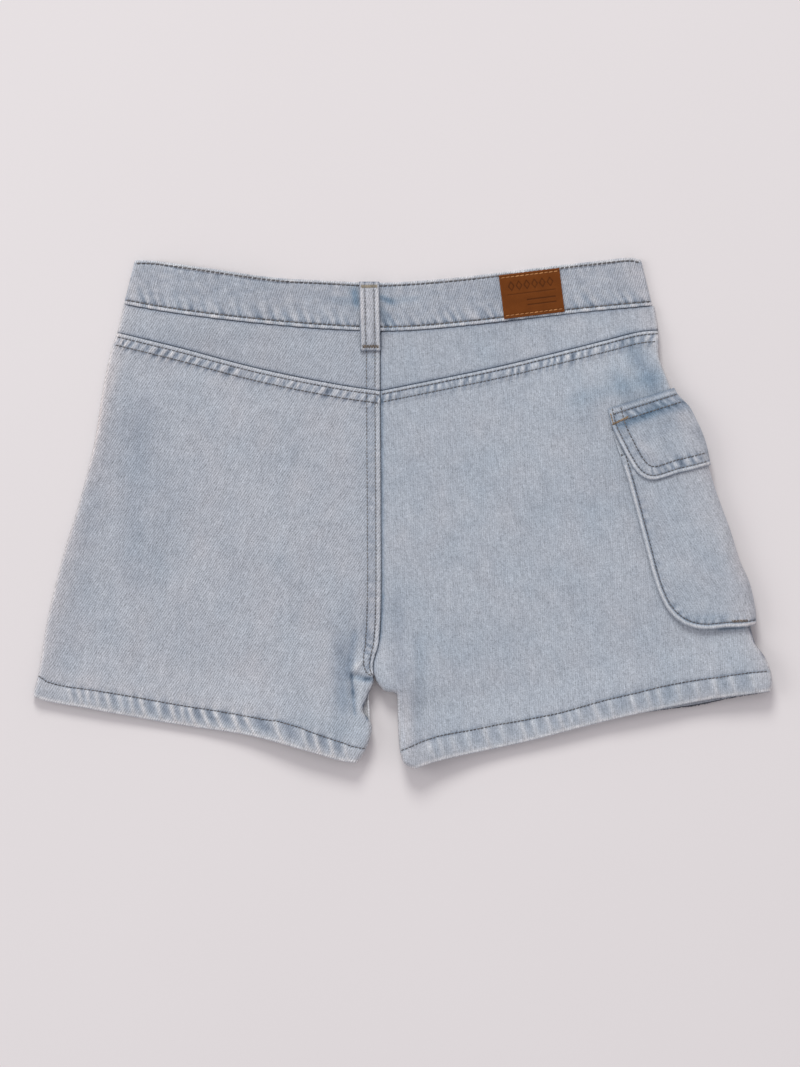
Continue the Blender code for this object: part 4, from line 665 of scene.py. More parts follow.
def row_detail(d, travel, at, pitch, seed):
    """A single row of stitches: its groove, and puckers past it."""
    gather = pucker(travel, pitch, seed)
    past = np.clip(d - at, 0.0, None)
    beyond = np.exp(-(past / ROW_SPREAD) ** 2) * (d > at)
    relief = -0.36 * bump_at(d, at, ROW_GROOVE) + 0.16 * gather * beyond
    # the dark line along the row is painted shade in its groove
    tone = -0.6 * bump_at(d, at, DARK_LINE) + (0.3 * gather - 0.08) * beyond
    return relief, tone


def hem_row(hem, travel):
    """How far over a hem's edge its stitches lie."""
    return np.interp(travel, *zip(*HEM_ROWS[hem]))


CREST_HALF = 1.2
HEM_LIP = 0.8                    # the pale lip of a hem, this far over its edge


def hem_detail(plan, hem):
    """Relief and tone of a roped hem, over the ridges that the solid has: crests, and dents between them."""
    travel, height = R[hem].near(plan)
    row = hem_row(hem, travel)
    slant = slant_share(height)
    crest, dent = np.zeros((2, len(plan)))
    for ridge in RIDGES[hem]:
        crest = np.maximum(crest, ridge.rise * bump_at(travel, ridge.at + ridge.run * slant, CREST_HALF))
    for here, after in zip(RIDGES[hem], RIDGES[hem][1:]):
        middle = (here.at + after.at + (here.run + after.run) * slant) / 2
        depth = (here.rise + after.rise) / 2
        dent = np.maximum(dent, depth * bump_at(travel, middle, 0.34 * (after.at - here.at)))
    above = np.exp(-(np.clip(height - row, 0, None) / 4.0) ** 2) * (height > row)
    under = soft_step((row - height) / 0.8)
    inner = under * soft_step((height - 1.5) / 6.5)
    crest_band = under * soft_step(height / 2.0) + 0.4 * above
    patchy = waves(np.column_stack([travel, height]), 5.0, 41.0)
    lip = bump_at(height, HEM_LIP, 1.25)
    groove = bump_at(height, row, ROW_GROOVE)
    relief = 0.35 * crest * crest_band - 0.55 * dent * (inner + 0.25 * above) - 0.4 * groove
    # the dark line at the row is painted shade in its groove
    tone = (0.9 * crest * crest_band - 0.85 * dent * (inner + 0.3 * above) - 0.65 * groove
            + (0.75 + 0.6 * patchy) * lip + 0.1 * under)
    return relief, tone


# ---------------------------------------------------------------- meshes of cloth
END = None                       # stands for the far end of an edge's rail
Edge = namedtuple("Edge", "kind rail start end", defaults=(0.0, END))
Rounded = namedtuple("Rounded", "rail side")

FINE_ROWS = {                    # distances in from an edge at which a row of points lies
    "side": [0.1, 0.35, 0.75, 1.25, 1.75, 2.2, 3.2],
    "hem": [0.25, 0.7, 1.3, 2.1, 3.1, 4.2, 5.4, 6.6, 7.8, 9.0, 10.2, 11.3, 12.2, 12.8, 13.4, 14.1, 15.2],
    "plain hem": [0.3, 1.0, 12.2, 13.0, 13.8],
    "fell": [0.25, 0.6, 1.1, 1.7, 2.3, 2.9, 3.5, 4.3, 5.2, 6.1, 7.0, 7.7, 8.3, 8.9, 9.6, 10.6],
    "seam": [0.3, 0.9],
    "free": [0.4]}


def travel_of(rail_name, x, y):
    return float(R[rail_name].near(np.array([(x, y)]))[0][0])


NARROW = 3.0                     # a fold or shade of less half width gets rows of points of its own
MARK_STEP = 1.3
MARK_ROOM = 0.42


def mark_rows():
    """Rows of points along and beside the narrow folds and shades."""
    for mark in FOLDS + SHADES:
        if mark.half_width < NARROW:
            start, end = np.array((mark.x0, mark.y0)), np.array((mark.x1, mark.y1))
            length = math.dist(start, end)
            way = (end - start) / length
            across = np.array([-way[1], way[0]]) * mark.half_width
            along = np.linspace(-mark.half_width, length + mark.half_width, max(3, round(length / MARK_STEP)))
            for share in (0.0, -0.6, 0.6, -1.2, 1.2):
                yield start + np.multiply.outer(along, way) + across * share


class Points:
    """Chosen plan points, sorted into square cells so that a new one is quickly kept clear of them."""
    CELL = 1.2

    def __init__(self, first):
        self.chosen = []
        self.cells = {}
        for p in first:
            self.add(p)

    def cell(self, p):
        return int(p[0] // self.CELL), int(p[1] // self.CELL)

    def add(self, p):
        self.chosen.append(tuple(p))
        self.cells.setdefault(self.cell(p), []).append(tuple(p))

    def offer(self, p, room):
        """Takes a point unless another one is nearer than the room that it needs."""
        x, y = self.cell(p)
        reach = int(room // self.CELL) + 1
        if all(math.dist(p, q) >= room for i in range(x - reach, x + reach + 1)
               for j in range(y - reach, y + reach + 1) for q in self.cells.get((i, j), ())):
            self.add(p)


def lattice(outline, spacing):
    """Points of a triangular grid inside an outline."""
    low, high = outline.min(axis=0), outline.max(axis=0)
    pitch = spacing * math.sqrt(3) / 2
    points = np.array([((i + 0.5 * (j % 2)) * spacing, j * pitch)
                       for j in range(math.floor(low[1] / pitch), math.ceil(high[1] / pitch) + 1)
                       for i in range(math.floor(low[0] / spacing) - 1, math.ceil(high[0] / spacing) + 1)])
    return points[inside(outline, points)]


EDGE_STEP = 0.85                 # shares of the spacing inside: between an edge's points, and around new ones
ROW_ROOM = 0.5
GRID_ROOM = 0.62
DOUBLE = 0.12                    # points of the outline this close are one
ROW_NEAREST = 0.6                # a row's point stays if the outline is past this share of its depth


def panel_plan(edges, spacing, insets):
    """Plan points and triangles of a panel: outline, rows along its edges, and a grid inside."""
    outline, rows = [], []
    for edge in edges:
        line = R[edge.rail]
        start, end = [line.length if place is END else place for place in (edge.start, edge.end)]
        way = 1.0 if end > start else -1.0
        count = max(2, round(abs(end - start) / (EDGE_STEP * spacing)) + 1)
        travel = np.linspace(start + way * SEAM_GAP, end - way * SEAM_GAP, count)
        normal = line.normal(travel) * way
        inset = insets.get(edge.kind, SEAM_GAP / 2)
        outline.append(line.at(travel) + normal * inset)
        rows += [(depth, line.at(travel) + normal * (inset + depth)) for depth in FINE_ROWS[edge.kind]]
    outline = np.vstack(outline)
    outline = outline[np.hypot(*(outline - np.roll(outline, 1, axis=0)).T) > DOUBLE]
    closed = Rail(np.vstack([outline, outline[:1]]))
    points = Points(outline)
    for depth, row in sorted(rows, key=lambda r: r[0]):
        row = row[inside(outline, row)]
        if len(row):
            for p, far in zip(row, np.abs(closed.near(row)[1])):
                if far > ROW_NEAREST * depth:
                    points.offer(p, min(ROW_ROOM * spacing, 0.09 + 0.35 * depth))
    for row in mark_rows():
        for p in row[inside(outline, row)]:
            points.offer(p, MARK_ROOM)
    for p in lattice(outline, spacing):
        points.offer(p, GRID_ROOM * spacing)
    return triangulate(points.chosen, len(outline))


def triangulate(points, ring):
    """Delaunay triangles inside the closed ring made by the first points."""
    edges = [(i, (i + 1) % ring) for i in range(ring)]
    made = delaunay_2d_cdt([Vector(p) for p in points], edges, [], 1, 1e-5)
    plan = np.array([tuple(v) for v in made[0]])
    faces = np.array(made[2])
    a, b, c = plan[faces[:, 0]], plan[faces[:, 1]], plan[faces[:, 2]]
    area = (b[:, 0] - a[:, 0]) * (c[:, 1] - a[:, 1]) - (c[:, 0] - a[:, 0]) * (b[:, 1] - a[:, 1])
    faces = np.where((area > 0)[:, None], faces, faces[:, ::-1])
    used = np.unique(faces)
    place = np.zeros(len(plan), int)
    place[used] = np.arange(len(used))
    return plan[used], place[faces]


def grid_faces(rows, columns, closed=False):
    """Four-sided faces over rows of points; where they are closed, a row's last point meets its first."""
    i, j = np.meshgrid(np.arange(rows - 1), np.arange(columns if closed else columns - 1), indexing="ij")
    after = (j + 1) % columns
    return np.stack([i * columns + j, (i + 1) * columns + j, (i + 1) * columns + after, i * columns + after],
                    -1).reshape(-1, 4)


def round_over(plan, upper, lower, middle, rounded, toward):
    """Bends a wall over at its folded sides; toward is -1 where the wall is above the fold."""
    top = np.column_stack([plan, upper])
    bottom = np.column_stack([plan, lower])
    for part in rounded:
        travel, across = R[part.rail].near(plan)
        depth = across * part.side
        near = np.abs(depth) < ROLL
        if not near.any():
            continue
        share = 1 - np.clip(np.abs(depth[near]), 0, ROLL) / ROLL
        rise = np.sqrt(np.maximum(1 - share ** 2, 0.0))
        normal = R[part.rail].normal(travel[near]) * part.side
        seam = middle[near] - toward * SEAM_GAP / 2
        outer, inner = (top, bottom) if toward < 0 else (bottom, top)
        outer_z = outer[near, 2]
        inner_z = inner[near, 2]
        outer[near, 2] = seam + (outer_z - seam) * rise
        inner_depth = CLOTH + (ROLL - CLOTH) * (1 - share)
        inner[near, :2] = plan[near] + normal * (inner_depth - np.abs(depth[near]))[:, None]
        inner[near, 2] = seam + (inner_z - seam) * rise
    return top, bottom


TREES = {}                       # for each piece, its faces, which the stitches are set on


def mesh_piece(name, points, faces, finish, node=None, slot="denim", **values):
    """A piece from points in millimetres, with named values at its points for the material to read."""
    points = np.asarray(points, float)
    faces = [tuple(int(v) for v in face) for face in faces]
    mesh = bpy.data.meshes.new(name)
    place = np.array([PLAN_CENTRE[0], PLAN_CENTRE[1], 0.0])
    mesh.from_pydata(((points - place) * MM).tolist(), [], faces)
    for key, data in values.items():
        data = np.asarray(data, float)
        kind, field = ("FLOAT", "value") if data.ndim == 1 else ("FLOAT_VECTOR", "vector")
        mesh.attributes.new(key, kind, "POINT").data.foreach_set(field, data.astype(np.float32).ravel())
    mesh.update()
    mesh.shade_smooth()
    mesh.materials.append(finish)
    made = bpy.data.objects.new(name, mesh)
    bpy.context.collection.objects.link(made)
    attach(made, "root")
    if node:
        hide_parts(node)
    TREES[name] = BVHTree.FromPolygons(points.tolist(), faces)
    return made


def wall(name, top, bottom, faces, cloth, tone, finish, node, slot="denim", dye=0.0):
    """A closed wall between two faces that share their triangles; cloth is the place on the cloth, in mm."""
    count = len(top)
    dye = np.broadcast_to(dye, count)
    faces = np.asarray(faces)
    size = faces.shape[1]
    edges = np.vstack([faces[:, [k, (k + 1) % size]] for k in range(size)])
    code = edges[:, 0] * count + edges[:, 1]
    back = edges[:, 1] * count + edges[:, 0]
    rim = edges[~np.isin(back, code)]
    sides = np.column_stack([rim[:, 1], rim[:, 0], rim[:, 0] + count, rim[:, 1] + count])
    all_faces = faces.tolist() + (faces[:, ::-1] + count).tolist() + sides.tolist()
    return mesh_piece(name, np.vstack([top, bottom]), all_faces, finish, node, slot,
                      cloth=np.vstack([cloth, cloth]), tone=np.tile(tone, 2), dye=np.tile(dye, 2))


def on_cloth(plan, grain, seed):
    """Place on the cloth: across and along its warp, in mm, with a seed of its own."""
    turn = math.radians(grain)
    x = plan[:, 0] * math.cos(turn) + plan[:, 1] * math.sin(turn)
    y = -plan[:, 0] * math.sin(turn) + plan[:, 1] * math.cos(turn)
    return np.column_stack([x, y, np.full(len(plan), float(seed))])


# ---------------------------------------------------------------- materials
def linear(red, green, blue, alpha=1.0):
    """A colour of the photo's kind, 0 to 255, as Blender's linear one."""
    def channel(value):
        value /= 255
        return value / 12.92 if value <= 0.04045 else ((value + 0.055) / 1.055) ** 2.4
    return channel(red), channel(green), channel(blue), alpha


class Nodes:
    """A short way to write a material's nodes."""

    def __init__(self, name, roughness, **fixed):
        self.material = bpy.data.materials.new(name)
        self.material.use_nodes = True
        self.tree = self.material.node_tree
        self.shader = self.tree.nodes["Principled BSDF"]
        self.shader.inputs["Roughness"].default_value = roughness
        for key, value in fixed.items():
            self.shader.inputs[key.replace("_", " ")].default_value = value

    def _set(self, socket, value):
        if isinstance(value, bpy.types.NodeSocket):
            self.tree.links.new(value, socket)
        else:
            socket.default_value = value

    def value(self, name):
        node = self.tree.nodes.new("ShaderNodeAttribute")
        node.attribute_name = name
        return node

    def math(self, operation, *values):
        node = self.tree.nodes.new("ShaderNodeMath")
        node.operation = operation
        for socket, value in zip(node.inputs, values):
            self._set(socket, value)
        return node.outputs[0]

    def vector(self, operation, *values):
        node = self.tree.nodes.new("ShaderNodeVectorMath")
        node.operation = operation
        for socket, value in zip(node.inputs, values):
            self._set(socket, value)
        return node.outputs["Value"] if operation == "DOT_PRODUCT" else node.outputs[0]

    def noise(self, place, stretch, detail=2.0):
        """Noise from about -0.5 to 0.5; stretch is its size in each direction."""
        scaled = self.vector("MULTIPLY", place, tuple(1 / s for s in stretch))
        node = self.tree.nodes.new("ShaderNodeTexNoise")
        self._set(node.inputs["Vector"], scaled)
        node.inputs["Scale"].default_value = 1.0
        node.inputs["Detail"].default_value = detail
        return self.math("SUBTRACT", node.outputs[0], 0.5)

    def ramp(self, factor, *stops):
        node = self.tree.nodes.new("ShaderNodeValToRGB")
        elements = node.color_ramp.elements
        for place, colour in stops[1:-1]:
            elements.new(place).color = colour
        elements[0].position, elements[0].color = stops[0]
        elements[-1].position, elements[-1].color = stops[-1]
        self._set(node.inputs[0], factor)
        return node.outputs[0]

    def scaled(self, colour, factor):
        node = self.tree.nodes.new("ShaderNodeVectorMath")
        node.operation = "SCALE"
        self._set(node.inputs[0], colour)
        self._set(node.inputs["Scale"], factor)
        return node.outputs[0]

    def sum(self, *terms, start=0.5):
        """Terms are pairs of weight and value."""
        total = start
        for weight, value in terms:
            total = self.math("ADD", total, self.math("MULTIPLY", value, weight))
        return total

    def colour(self, value):
        self._set(self.shader.inputs["Base Color"], value)

    def bump(self, height, strength, distance):
        node = self.tree.nodes.new("ShaderNodeBump")
        node.inputs["Strength"].default_value = strength
        node.inputs["Distance"].default_value = distance
        self._set(node.inputs["Height"], height)
        self._set(self.shader.inputs["Normal"], node.outputs[0])


WALE_PITCH = 1.4
WASHED = (-0.16, -0.055, 0.0)    # what dye takes from red, green and blue
DENIM_STOPS = [
    (0.0, linear(98, 108, 122)), (0.25, linear(139, 147, 159)), (0.5, linear(171, 177, 185)),
    (0.75, linear(191, 195, 200)), (1.0, linear(208, 211, 214))]


def denim(name, wale_turn, wale_strength):
    """Washed twill: tone from the piece's values and mottling, times the weave's wales, slubs and grain."""
    n = Nodes(name, 0.85, Sheen_Weight=0.1, Sheen_Roughness=0.5, Specular_IOR_Level=0.2)
    cloth = n.value("cloth").outputs["Vector"]
    tone = n.value("tone").outputs["Fac"]
    sine, cosine = math.sin(math.radians(wale_turn)), math.cos(math.radians(wale_turn))
    wobble = n.noise(cloth, (7.0, 9.0, 1.0), 1.0)
    phase = n.math("ADD", n.vector("DOT_PRODUCT", cloth, (sine / WALE_PITCH, -cosine / WALE_PITCH, 0)),
                   n.math("MULTIPLY", wobble, 1.1))
    wale = n.math("SINE", n.math("MULTIPLY", phase, 2 * math.pi))
    slub = n.noise(cloth, (0.9, 4.2, 1.0), 2.0)
    long_slub = n.noise(cloth, (1.6, 24.0, 1.0), 1.0)
    grain = n.noise(cloth, (0.75, 0.75, 1.0), 1.0)
    fleck = n.noise(cloth, (1.5, 1.9, 1.0), 2.0)
    blotch = n.noise(cloth, (5.5, 7.0, 1.0), 2.0)
    mottle = n.noise(cloth, (30.0, 40.0, 1.0), 3.0)
    patchy = n.sum((2.4, n.noise(cloth, (2.6, 3.4, 1.0), 1.0)), start=0.85)
    weave = n.sum((0.19 * wale_strength, n.math("MULTIPLY", wale, patchy)), (0.5, slub), (0.25, long_slub),
                  (0.9, grain), (0.6, fleck), (0.2, blotch), start=1.0)
    cast = n.noise(n.vector("ADD", cloth, (71.0, 13.0, 4.0)), (24.0, 34.0, 1.0), 2.0)
    dye = n.sum((1.0, n.value("dye").outputs["Fac"]), (1.0, cast), start=0.0)
    left = n.tree.nodes.new("ShaderNodeCombineXYZ")
    for socket, share in zip(left.inputs, WASHED):
        n.tree.links.new(n.sum((share, dye), start=1.0), socket)
    pale = n.sum((0.42, tone), (0.12, blotch), (0.16, mottle))
    shades = n.ramp(pale, *DENIM_STOPS)
    n.colour(n.scaled(n.vector("MULTIPLY", shades, left.outputs[0]), weave))
    n.bump(n.sum((0.3 * wale_strength, wale), (0.6, slub), (0.8, grain)), 0.5, 0.0003)
    return n.material


def thread(name, dark, pale):
    """Twisted sewing thread, a little uneven in colour from stitch to stitch."""
    n = Nodes(name, 0.7, Sheen_Weight=0.1)
    cloth = n.value("cloth").outputs["Vector"]
    fuzz = n.noise(cloth, (0.5, 0.5, 0.5), 2.0)
    twist = n.math("SINE", n.vector("DOT_PRODUCT", cloth, (9.0, 9.0, 14.0)))
    n.colour(n.ramp(n.sum((0.5, n.value("tone").outputs["Fac"]), (0.5, fuzz), (0.08, twist)),
                    (0.1, dark), (0.9, pale)))
    n.bump(n.sum((0.3, twist), (0.5, fuzz)), 0.4, 0.0002)
    return n.material


def leather():
    """Brown leather-like board with a fine grain; tone is darker where the design is pressed in."""
    n = Nodes("patch_leather", 0.75, Specular_IOR_Level=0.12)
    cloth = n.value("cloth").outputs["Vector"]
    grain = n.noise(cloth, (0.55, 0.55, 1.0), 3.0)
    cloud = n.noise(cloth, (6.0, 5.0, 1.0), 3.0)
    n.colour(n.ramp(n.sum((0.4, n.value("tone").outputs["Fac"]), (0.35, grain), (0.3, cloud)),
                    (0.0, linear(52, 25, 8)), (0.5, linear(107, 57, 18)), (1.0, linear(140, 82, 34))))
    n.bump(n.sum((1.0, grain)), 0.35, 0.0003)
    return n.material


def metal():
    n = Nodes("button_metal", 0.38, Metallic=1.0)
    cloth = n.value("cloth").outputs["Vector"]
    wear = n.noise(cloth, (3.0, 3.0, 3.0), 4.0)
    n.colour(n.ramp(n.sum((0.9, wear), (0.3, n.value("tone").outputs["Fac"])),
                    (0.2, linear(104, 88, 66)), (0.8, linear(190, 176, 148))))
    n.bump(n.noise(cloth, (0.4, 0.4, 0.4), 2.0), 0.15, 0.0002)
    return n.material


DENIM = denim("denim_back", 68, 1.1)
DENIM_PLAIN = denim("denim_smooth", 77, 0.4)
THREAD_DARK = thread("thread_slate", linear(62, 63, 68), linear(116, 114, 114))
THREAD_BROWN = thread("thread_rust", linear(140, 86, 40), linear(200, 140, 80))
THREAD_TAN = thread("thread_tan", linear(92, 78, 60), linear(156, 134, 108))
THREAD_RUST = thread("thread_umber", linear(70, 60, 50), linear(128, 108, 86))
THREAD_INDIGO = thread("thread_indigo", linear(34, 40, 54), linear(78, 84, 98))
THREAD_OLIVE = thread("thread_olive", linear(122, 114, 98), linear(176, 166, 148))
THREAD_SOFT = thread("thread_soft", linear(92, 92, 94), linear(140, 139, 138))
LEATHER = leather()
METAL = metal()


# ---------------------------------------------------------------- back yokes and legs
HEM_ROUNDING = 1.0               # the hem's edge is rounded over this distance
EDGE_SHARE = 0.35                # the share of its thickness that it keeps at the very edge
HEM_REACH = 22.0                 # the hem's looks end this far up, over HEM_END
HEM_END = 6.0
WEAR_AND_LIGHT_SIDE = 2.5                  # within this distance the folded sides are paler and less blue, by these much: worn, and with painted light against the shading of the rounded fold
WEAR_AND_PAINTED_LIGHT = 0.5
WORN_DYE = -0.35
Look = namedtuple("Look", "tone dye")
LOOKS = {
    "yoke_left": Look(-0.06, 0.1), "yoke_right": Look(-0.08, 0.25), "back_leg_left": Look(0.0, 0.0),
    "back_leg_right": Look(-0.01, 0.25), "pocket": Look(-0.02, 0.25), "pocket_gusset": Look(0.0, 0.3),
    "pocket_flap": Look(-0.12, 0.3)}


def back_piece(node, edges, rounded, seams, plain_seams, grain, seed, hem=None, finish=DENIM):
    """A panel of the back, with its seams' relief, folds, a crumpled lie and, on a leg, a roped hem."""
    plan, faces = panel_plan(edges, FINE, {"side": 0.0, "hem": 0.0})
    z = stack(plan)
    shift = fold_relief(plan) + crumple(plan, seed) + stand(plan)
    rise = np.zeros(len(plan))
    relief = np.zeros(len(plan))
    tone, dye = shade(plan)
    tone = tone + 0.05 * crumple(plan, seed + 3.0) + LOOKS[node].tone
    dye = dye + LOOKS[node].dye
    for seam in seams:
        travel, across = R[seam.rail].near(plan)
        d = np.abs(across)
        rise = np.maximum(rise, FELL_RISE * (1 - soft_step((d - FELL_WIDTH) / FELL_EDGE)))
        more, more_tone = seam_detail(d, travel, seam)
        relief += more
        tone += more_tone
        dye = dye + left_blue(more_tone)
    for rail_name in plain_seams:
        d = np.abs(R[rail_name].near(plan)[1])
        relief -= 0.35 * (1 - soft_step(d / 1.2)) ** 2
        tone -= 0.75 * bump_at(d, 0.0, 1.1)
    lower = z["back_low"] + shift
    upper = z["back_high"] + shift + rise
    if hem:
        height = R[hem].near(plan)[1]
        half = (upper - lower) / 2 * (EDGE_SHARE + (1 - EDGE_SHARE) * round_off(height / HEM_ROUNDING))
        middle = (upper + lower) / 2
        upper = middle + half + roping_relief(plan, hem)
        lower = middle - half
        more, more_tone = hem_detail(plan, hem)
        near_hem = 1 - soft_step((height - HEM_REACH) / HEM_END)
        relief += more * near_hem
        tone += more_tone * near_hem
        dye = dye + left_blue(more_tone) * near_hem
    from_side = np.min([np.abs(R[part.rail].near(plan)[1]) for part in rounded], axis=0)
    # near the folded sides: wear, and painted light that offsets the shading of the rounded fold
    side_wear_and_light = 1 - soft_step(from_side / WEAR_AND_LIGHT_SIDE)
    upper = np.maximum(upper + relief * (1 - side_wear_and_light), lower + 0.3)
    tone = tone + WEAR_AND_PAINTED_LIGHT * side_wear_and_light
    dye = dye + WORN_DYE * side_wear_and_light
    side_middle = (z["front_low"] + z["back_high"]) / 2 + front_stand(plan)
    top, bottom = round_over(plan, upper, lower, side_middle, rounded, -1)
    return wall("cloth_" + node, top, bottom, faces, on_cloth(plan, grain, seed), tone, finish, node, dye=dye)


def make_back():
    left_yoke_at = travel_of("left_side", *YOKE_LEFT_LOW[0][1:])
    right_yoke_at = travel_of("right_side", *YOKE_RIGHT_LOW[-1][1:])
    centre_at = travel_of("centre_back", *YOKE_LEFT_LOW[-1][1:])
    band_at = travel_of("band_low", CENTRE_BACK[0].x, BAND_LOW[5].y)
    centre_top = travel_of("centre_back", CENTRE_BACK[0].x, BAND_LOW[5].y)
    back_piece("yoke_left", [
        Edge("side", "left_side", 0.0, left_yoke_at), Edge("seam", "yoke_left"),
        Edge("fell", "centre_back", centre_at, centre_top), Edge("seam", "band_low", band_at, 0.0)],
        [Rounded("left_side", 1)], [CENTRE_SEAM], ["yoke_left", "band_low"], -10.0, 1.0)
    back_piece("yoke_right", [
        Edge("seam", "centre_back", centre_top, centre_at), Edge("seam", "yoke_right"),
        Edge("side", "right_side", right_yoke_at, 0.0), Edge("seam", "band_low", END, band_at)],
        [Rounded("right_side", -1)], [], ["centre_back", "yoke_right", "band_low"], 14.0, 2.0,
        finish=DENIM_PLAIN)
    back_piece("back_leg_left", [
        Edge("side", "left_side", left_yoke_at), Edge("hem", "left_hem"),
        Edge("side", "left_inner", END, 0.0),
        Edge("fell", "centre_back", END, centre_at), Edge("fell", "yoke_left", END, 0.0)],
        [Rounded("left_side", 1), Rounded("left_inner", -1)], [CENTRE_SEAM, YOKE_LEFT_SEAM], [], -11.0, 3.0,
        hem="left_hem")
    back_piece("back_leg_right", [
        Edge("seam", "centre_back", centre_at), Edge("side", "right_inner"), Edge("hem", "right_hem"),
        Edge("side", "right_side", END, right_yoke_at), Edge("fell", "yoke_right", END, 0.0)],
        [Rounded("right_side", -1), Rounded("right_inner", 1)], [YOKE_RIGHT_SEAM], ["centre_back"], 13.0, 4.0,
        hem="right_hem", finish=DENIM_PLAIN)


# ---------------------------------------------------------------- front legs and skirt panel
# the paler tone at the left front's inner edge is painted light, set against the back leg's shadow on it
INNER_FILL = 0.9                 # the left front's inner edge is fuller, and paler, where it shows
INNER_PAINTED_LIGHT = 1.4
SHORT_OF_SIDE = 4.0              # the right front leg ends this short of the side, where the skirt turns


def front_piece(node, edges, low_key, high_key, rounded, insets, grain, seed):
    """A panel of the front, which lies on the table; its hem has a row of stitches."""
    plan, faces = panel_plan(edges, MEDIUM, {"side": 0.0, **insets})
    z = stack(plan)
    hem = hem_distance(plan)
    dip = 0.3 * bump_at(hem, FRONT_ROW, 0.8)
    # the darker line at the hem's row is painted shade in its groove
    tone = -0.25 * bump_at(hem, FRONT_ROW, 0.9) + 0.12 * waves(plan, 30.0, seed)
    near_inner = bump_at(R["front_left_inner"].near(plan)[1], 0.0, 6.0)
    # painted light on the inner edge, which lies in the back leg's shadow
    tone += INNER_PAINTED_LIGHT * near_inner
    risen = front_stand(plan)
    filled_in = INNER_FILL * near_inner * bump_at(plan[:, 1], 42.0, 12.0)
    middle = (z[low_key] + z["back_high"]) / 2 + risen
    upper = z[high_key] + risen + filled_in
    lower = z[low_key] + dip + risen
    top, bottom = round_over(plan, upper, lower, middle, rounded, 1)
    return wall("cloth_" + node, top, bottom, faces, on_cloth(plan, grain, seed), tone, DENIM_PLAIN, node)


def make_front():
    band_at = travel_of("band_low", CENTRE_FRONT[0].x, BAND_LOW[5].y)
    centre_top = travel_of("centre_front", CENTRE_FRONT[0].x, BAND_LOW[5].y)
    panel_top = travel_of("band_low", *FREE_EDGE[-1][1:])
    panel_end = travel_of("free_edge", *R["band_low"].at(panel_top))
    hem_end, band_end = [R[name].length - SHORT_OF_SIDE for name in ("right_hem", "band_low")]
    tucked = {"plain hem": 0.8, "free": ROLL + 1.4}
    front_piece("front_leg_left", [
        Edge("side", "left_side"), Edge("plain hem", "left_hem"), Edge("side", "front_left_inner", END, 0.0),
        Edge("seam", "centre_front", END, centre_top), Edge("seam", "band_low", band_at, 0.0)],
        "front_low", "front_high", [Rounded("left_side", 1), Rounded("front_left_inner", -1)], tucked,
        -11.0, 5.0)
    front_piece("front_leg_right", [
        Edge("seam", "centre_front", centre_top), Edge("side", "right_inner"),
        Edge("plain hem", "right_hem", 0.0, hem_end), Edge("free", "right_side", END, 0.0),
        Edge("seam", "band_low", band_end, band_at)],
        "front_low", "front_high", [Rounded("right_inner", 1)], tucked, 13.0, 6.0)
    front_piece("skirt_panel", [
        Edge("free", "free_edge", panel_end - 0.8, 0.0), Edge("plain hem", "skirt_hem"),
        Edge("side", "right_side", END, 0.0), Edge("seam", "band_low", END, panel_top)],
        "skirt_low", "skirt_high", [Rounded("right_side", -1)], {"plain hem": 0.0}, 13.0, 7.0)


# ---------------------------------------------------------------- waistband
UNDERLAP_START = 5.0             # the underlap climbs over the lap from here to the lap's end, less a margin
UNDERLAP_MARGIN = 8.0
BAND_WIDTH = 30.0                # about; the rows of points are set across it
BAND_TICKS = np.concatenate([
    [0.0, 0.25, 0.6, 1.0, 1.5, 2.1, 2.7, 3.4, 4.4], np.linspace(5.8, 24.2, 14),
    [25.4, 26.2, 26.9, 27.5, 28.1, 28.7, 29.2, 29.6, 29.85]])
BAND_ROUNDING = 0.9              # the band's edges are rounded over this distance, to a share of its wall
BAND_EDGE_SHARE = 0.4
FRONT_STATIONS = 110
UNDERLAP_STATIONS = 36
BEND_STATIONS = 13
FRONT_RUN, BEND_RUN, BACK_RUN, UNDER_RUN = range(4)
BAND_PEEP = 1.5                  # the front half of the band shows this much above the back half
Peep = namedtuple("Peep", "start end")
PEEPS = [Peep(-158.0, -60.0), Peep(66.0, 148.0)]


def band_points(shares, width_shares):
    """Plan points of the band at shares of its length and of its width (0 is the top edge)."""
    top = R["band_top"].at(shares * R["band_top"].length)
    low = R["band_low"].at(shares * R["band_low"].length)
    return top + (low - top) * width_shares[..., None]


Gather = namedtuple("Gather", "pitch seed")
TOP_GATHER = Gather(5.6, 0.7)
LOW_GATHER = Gather(5.3, 3.3)
DRAG = Gather(8.5, 5.1)          # wider gathers, between the band's rows


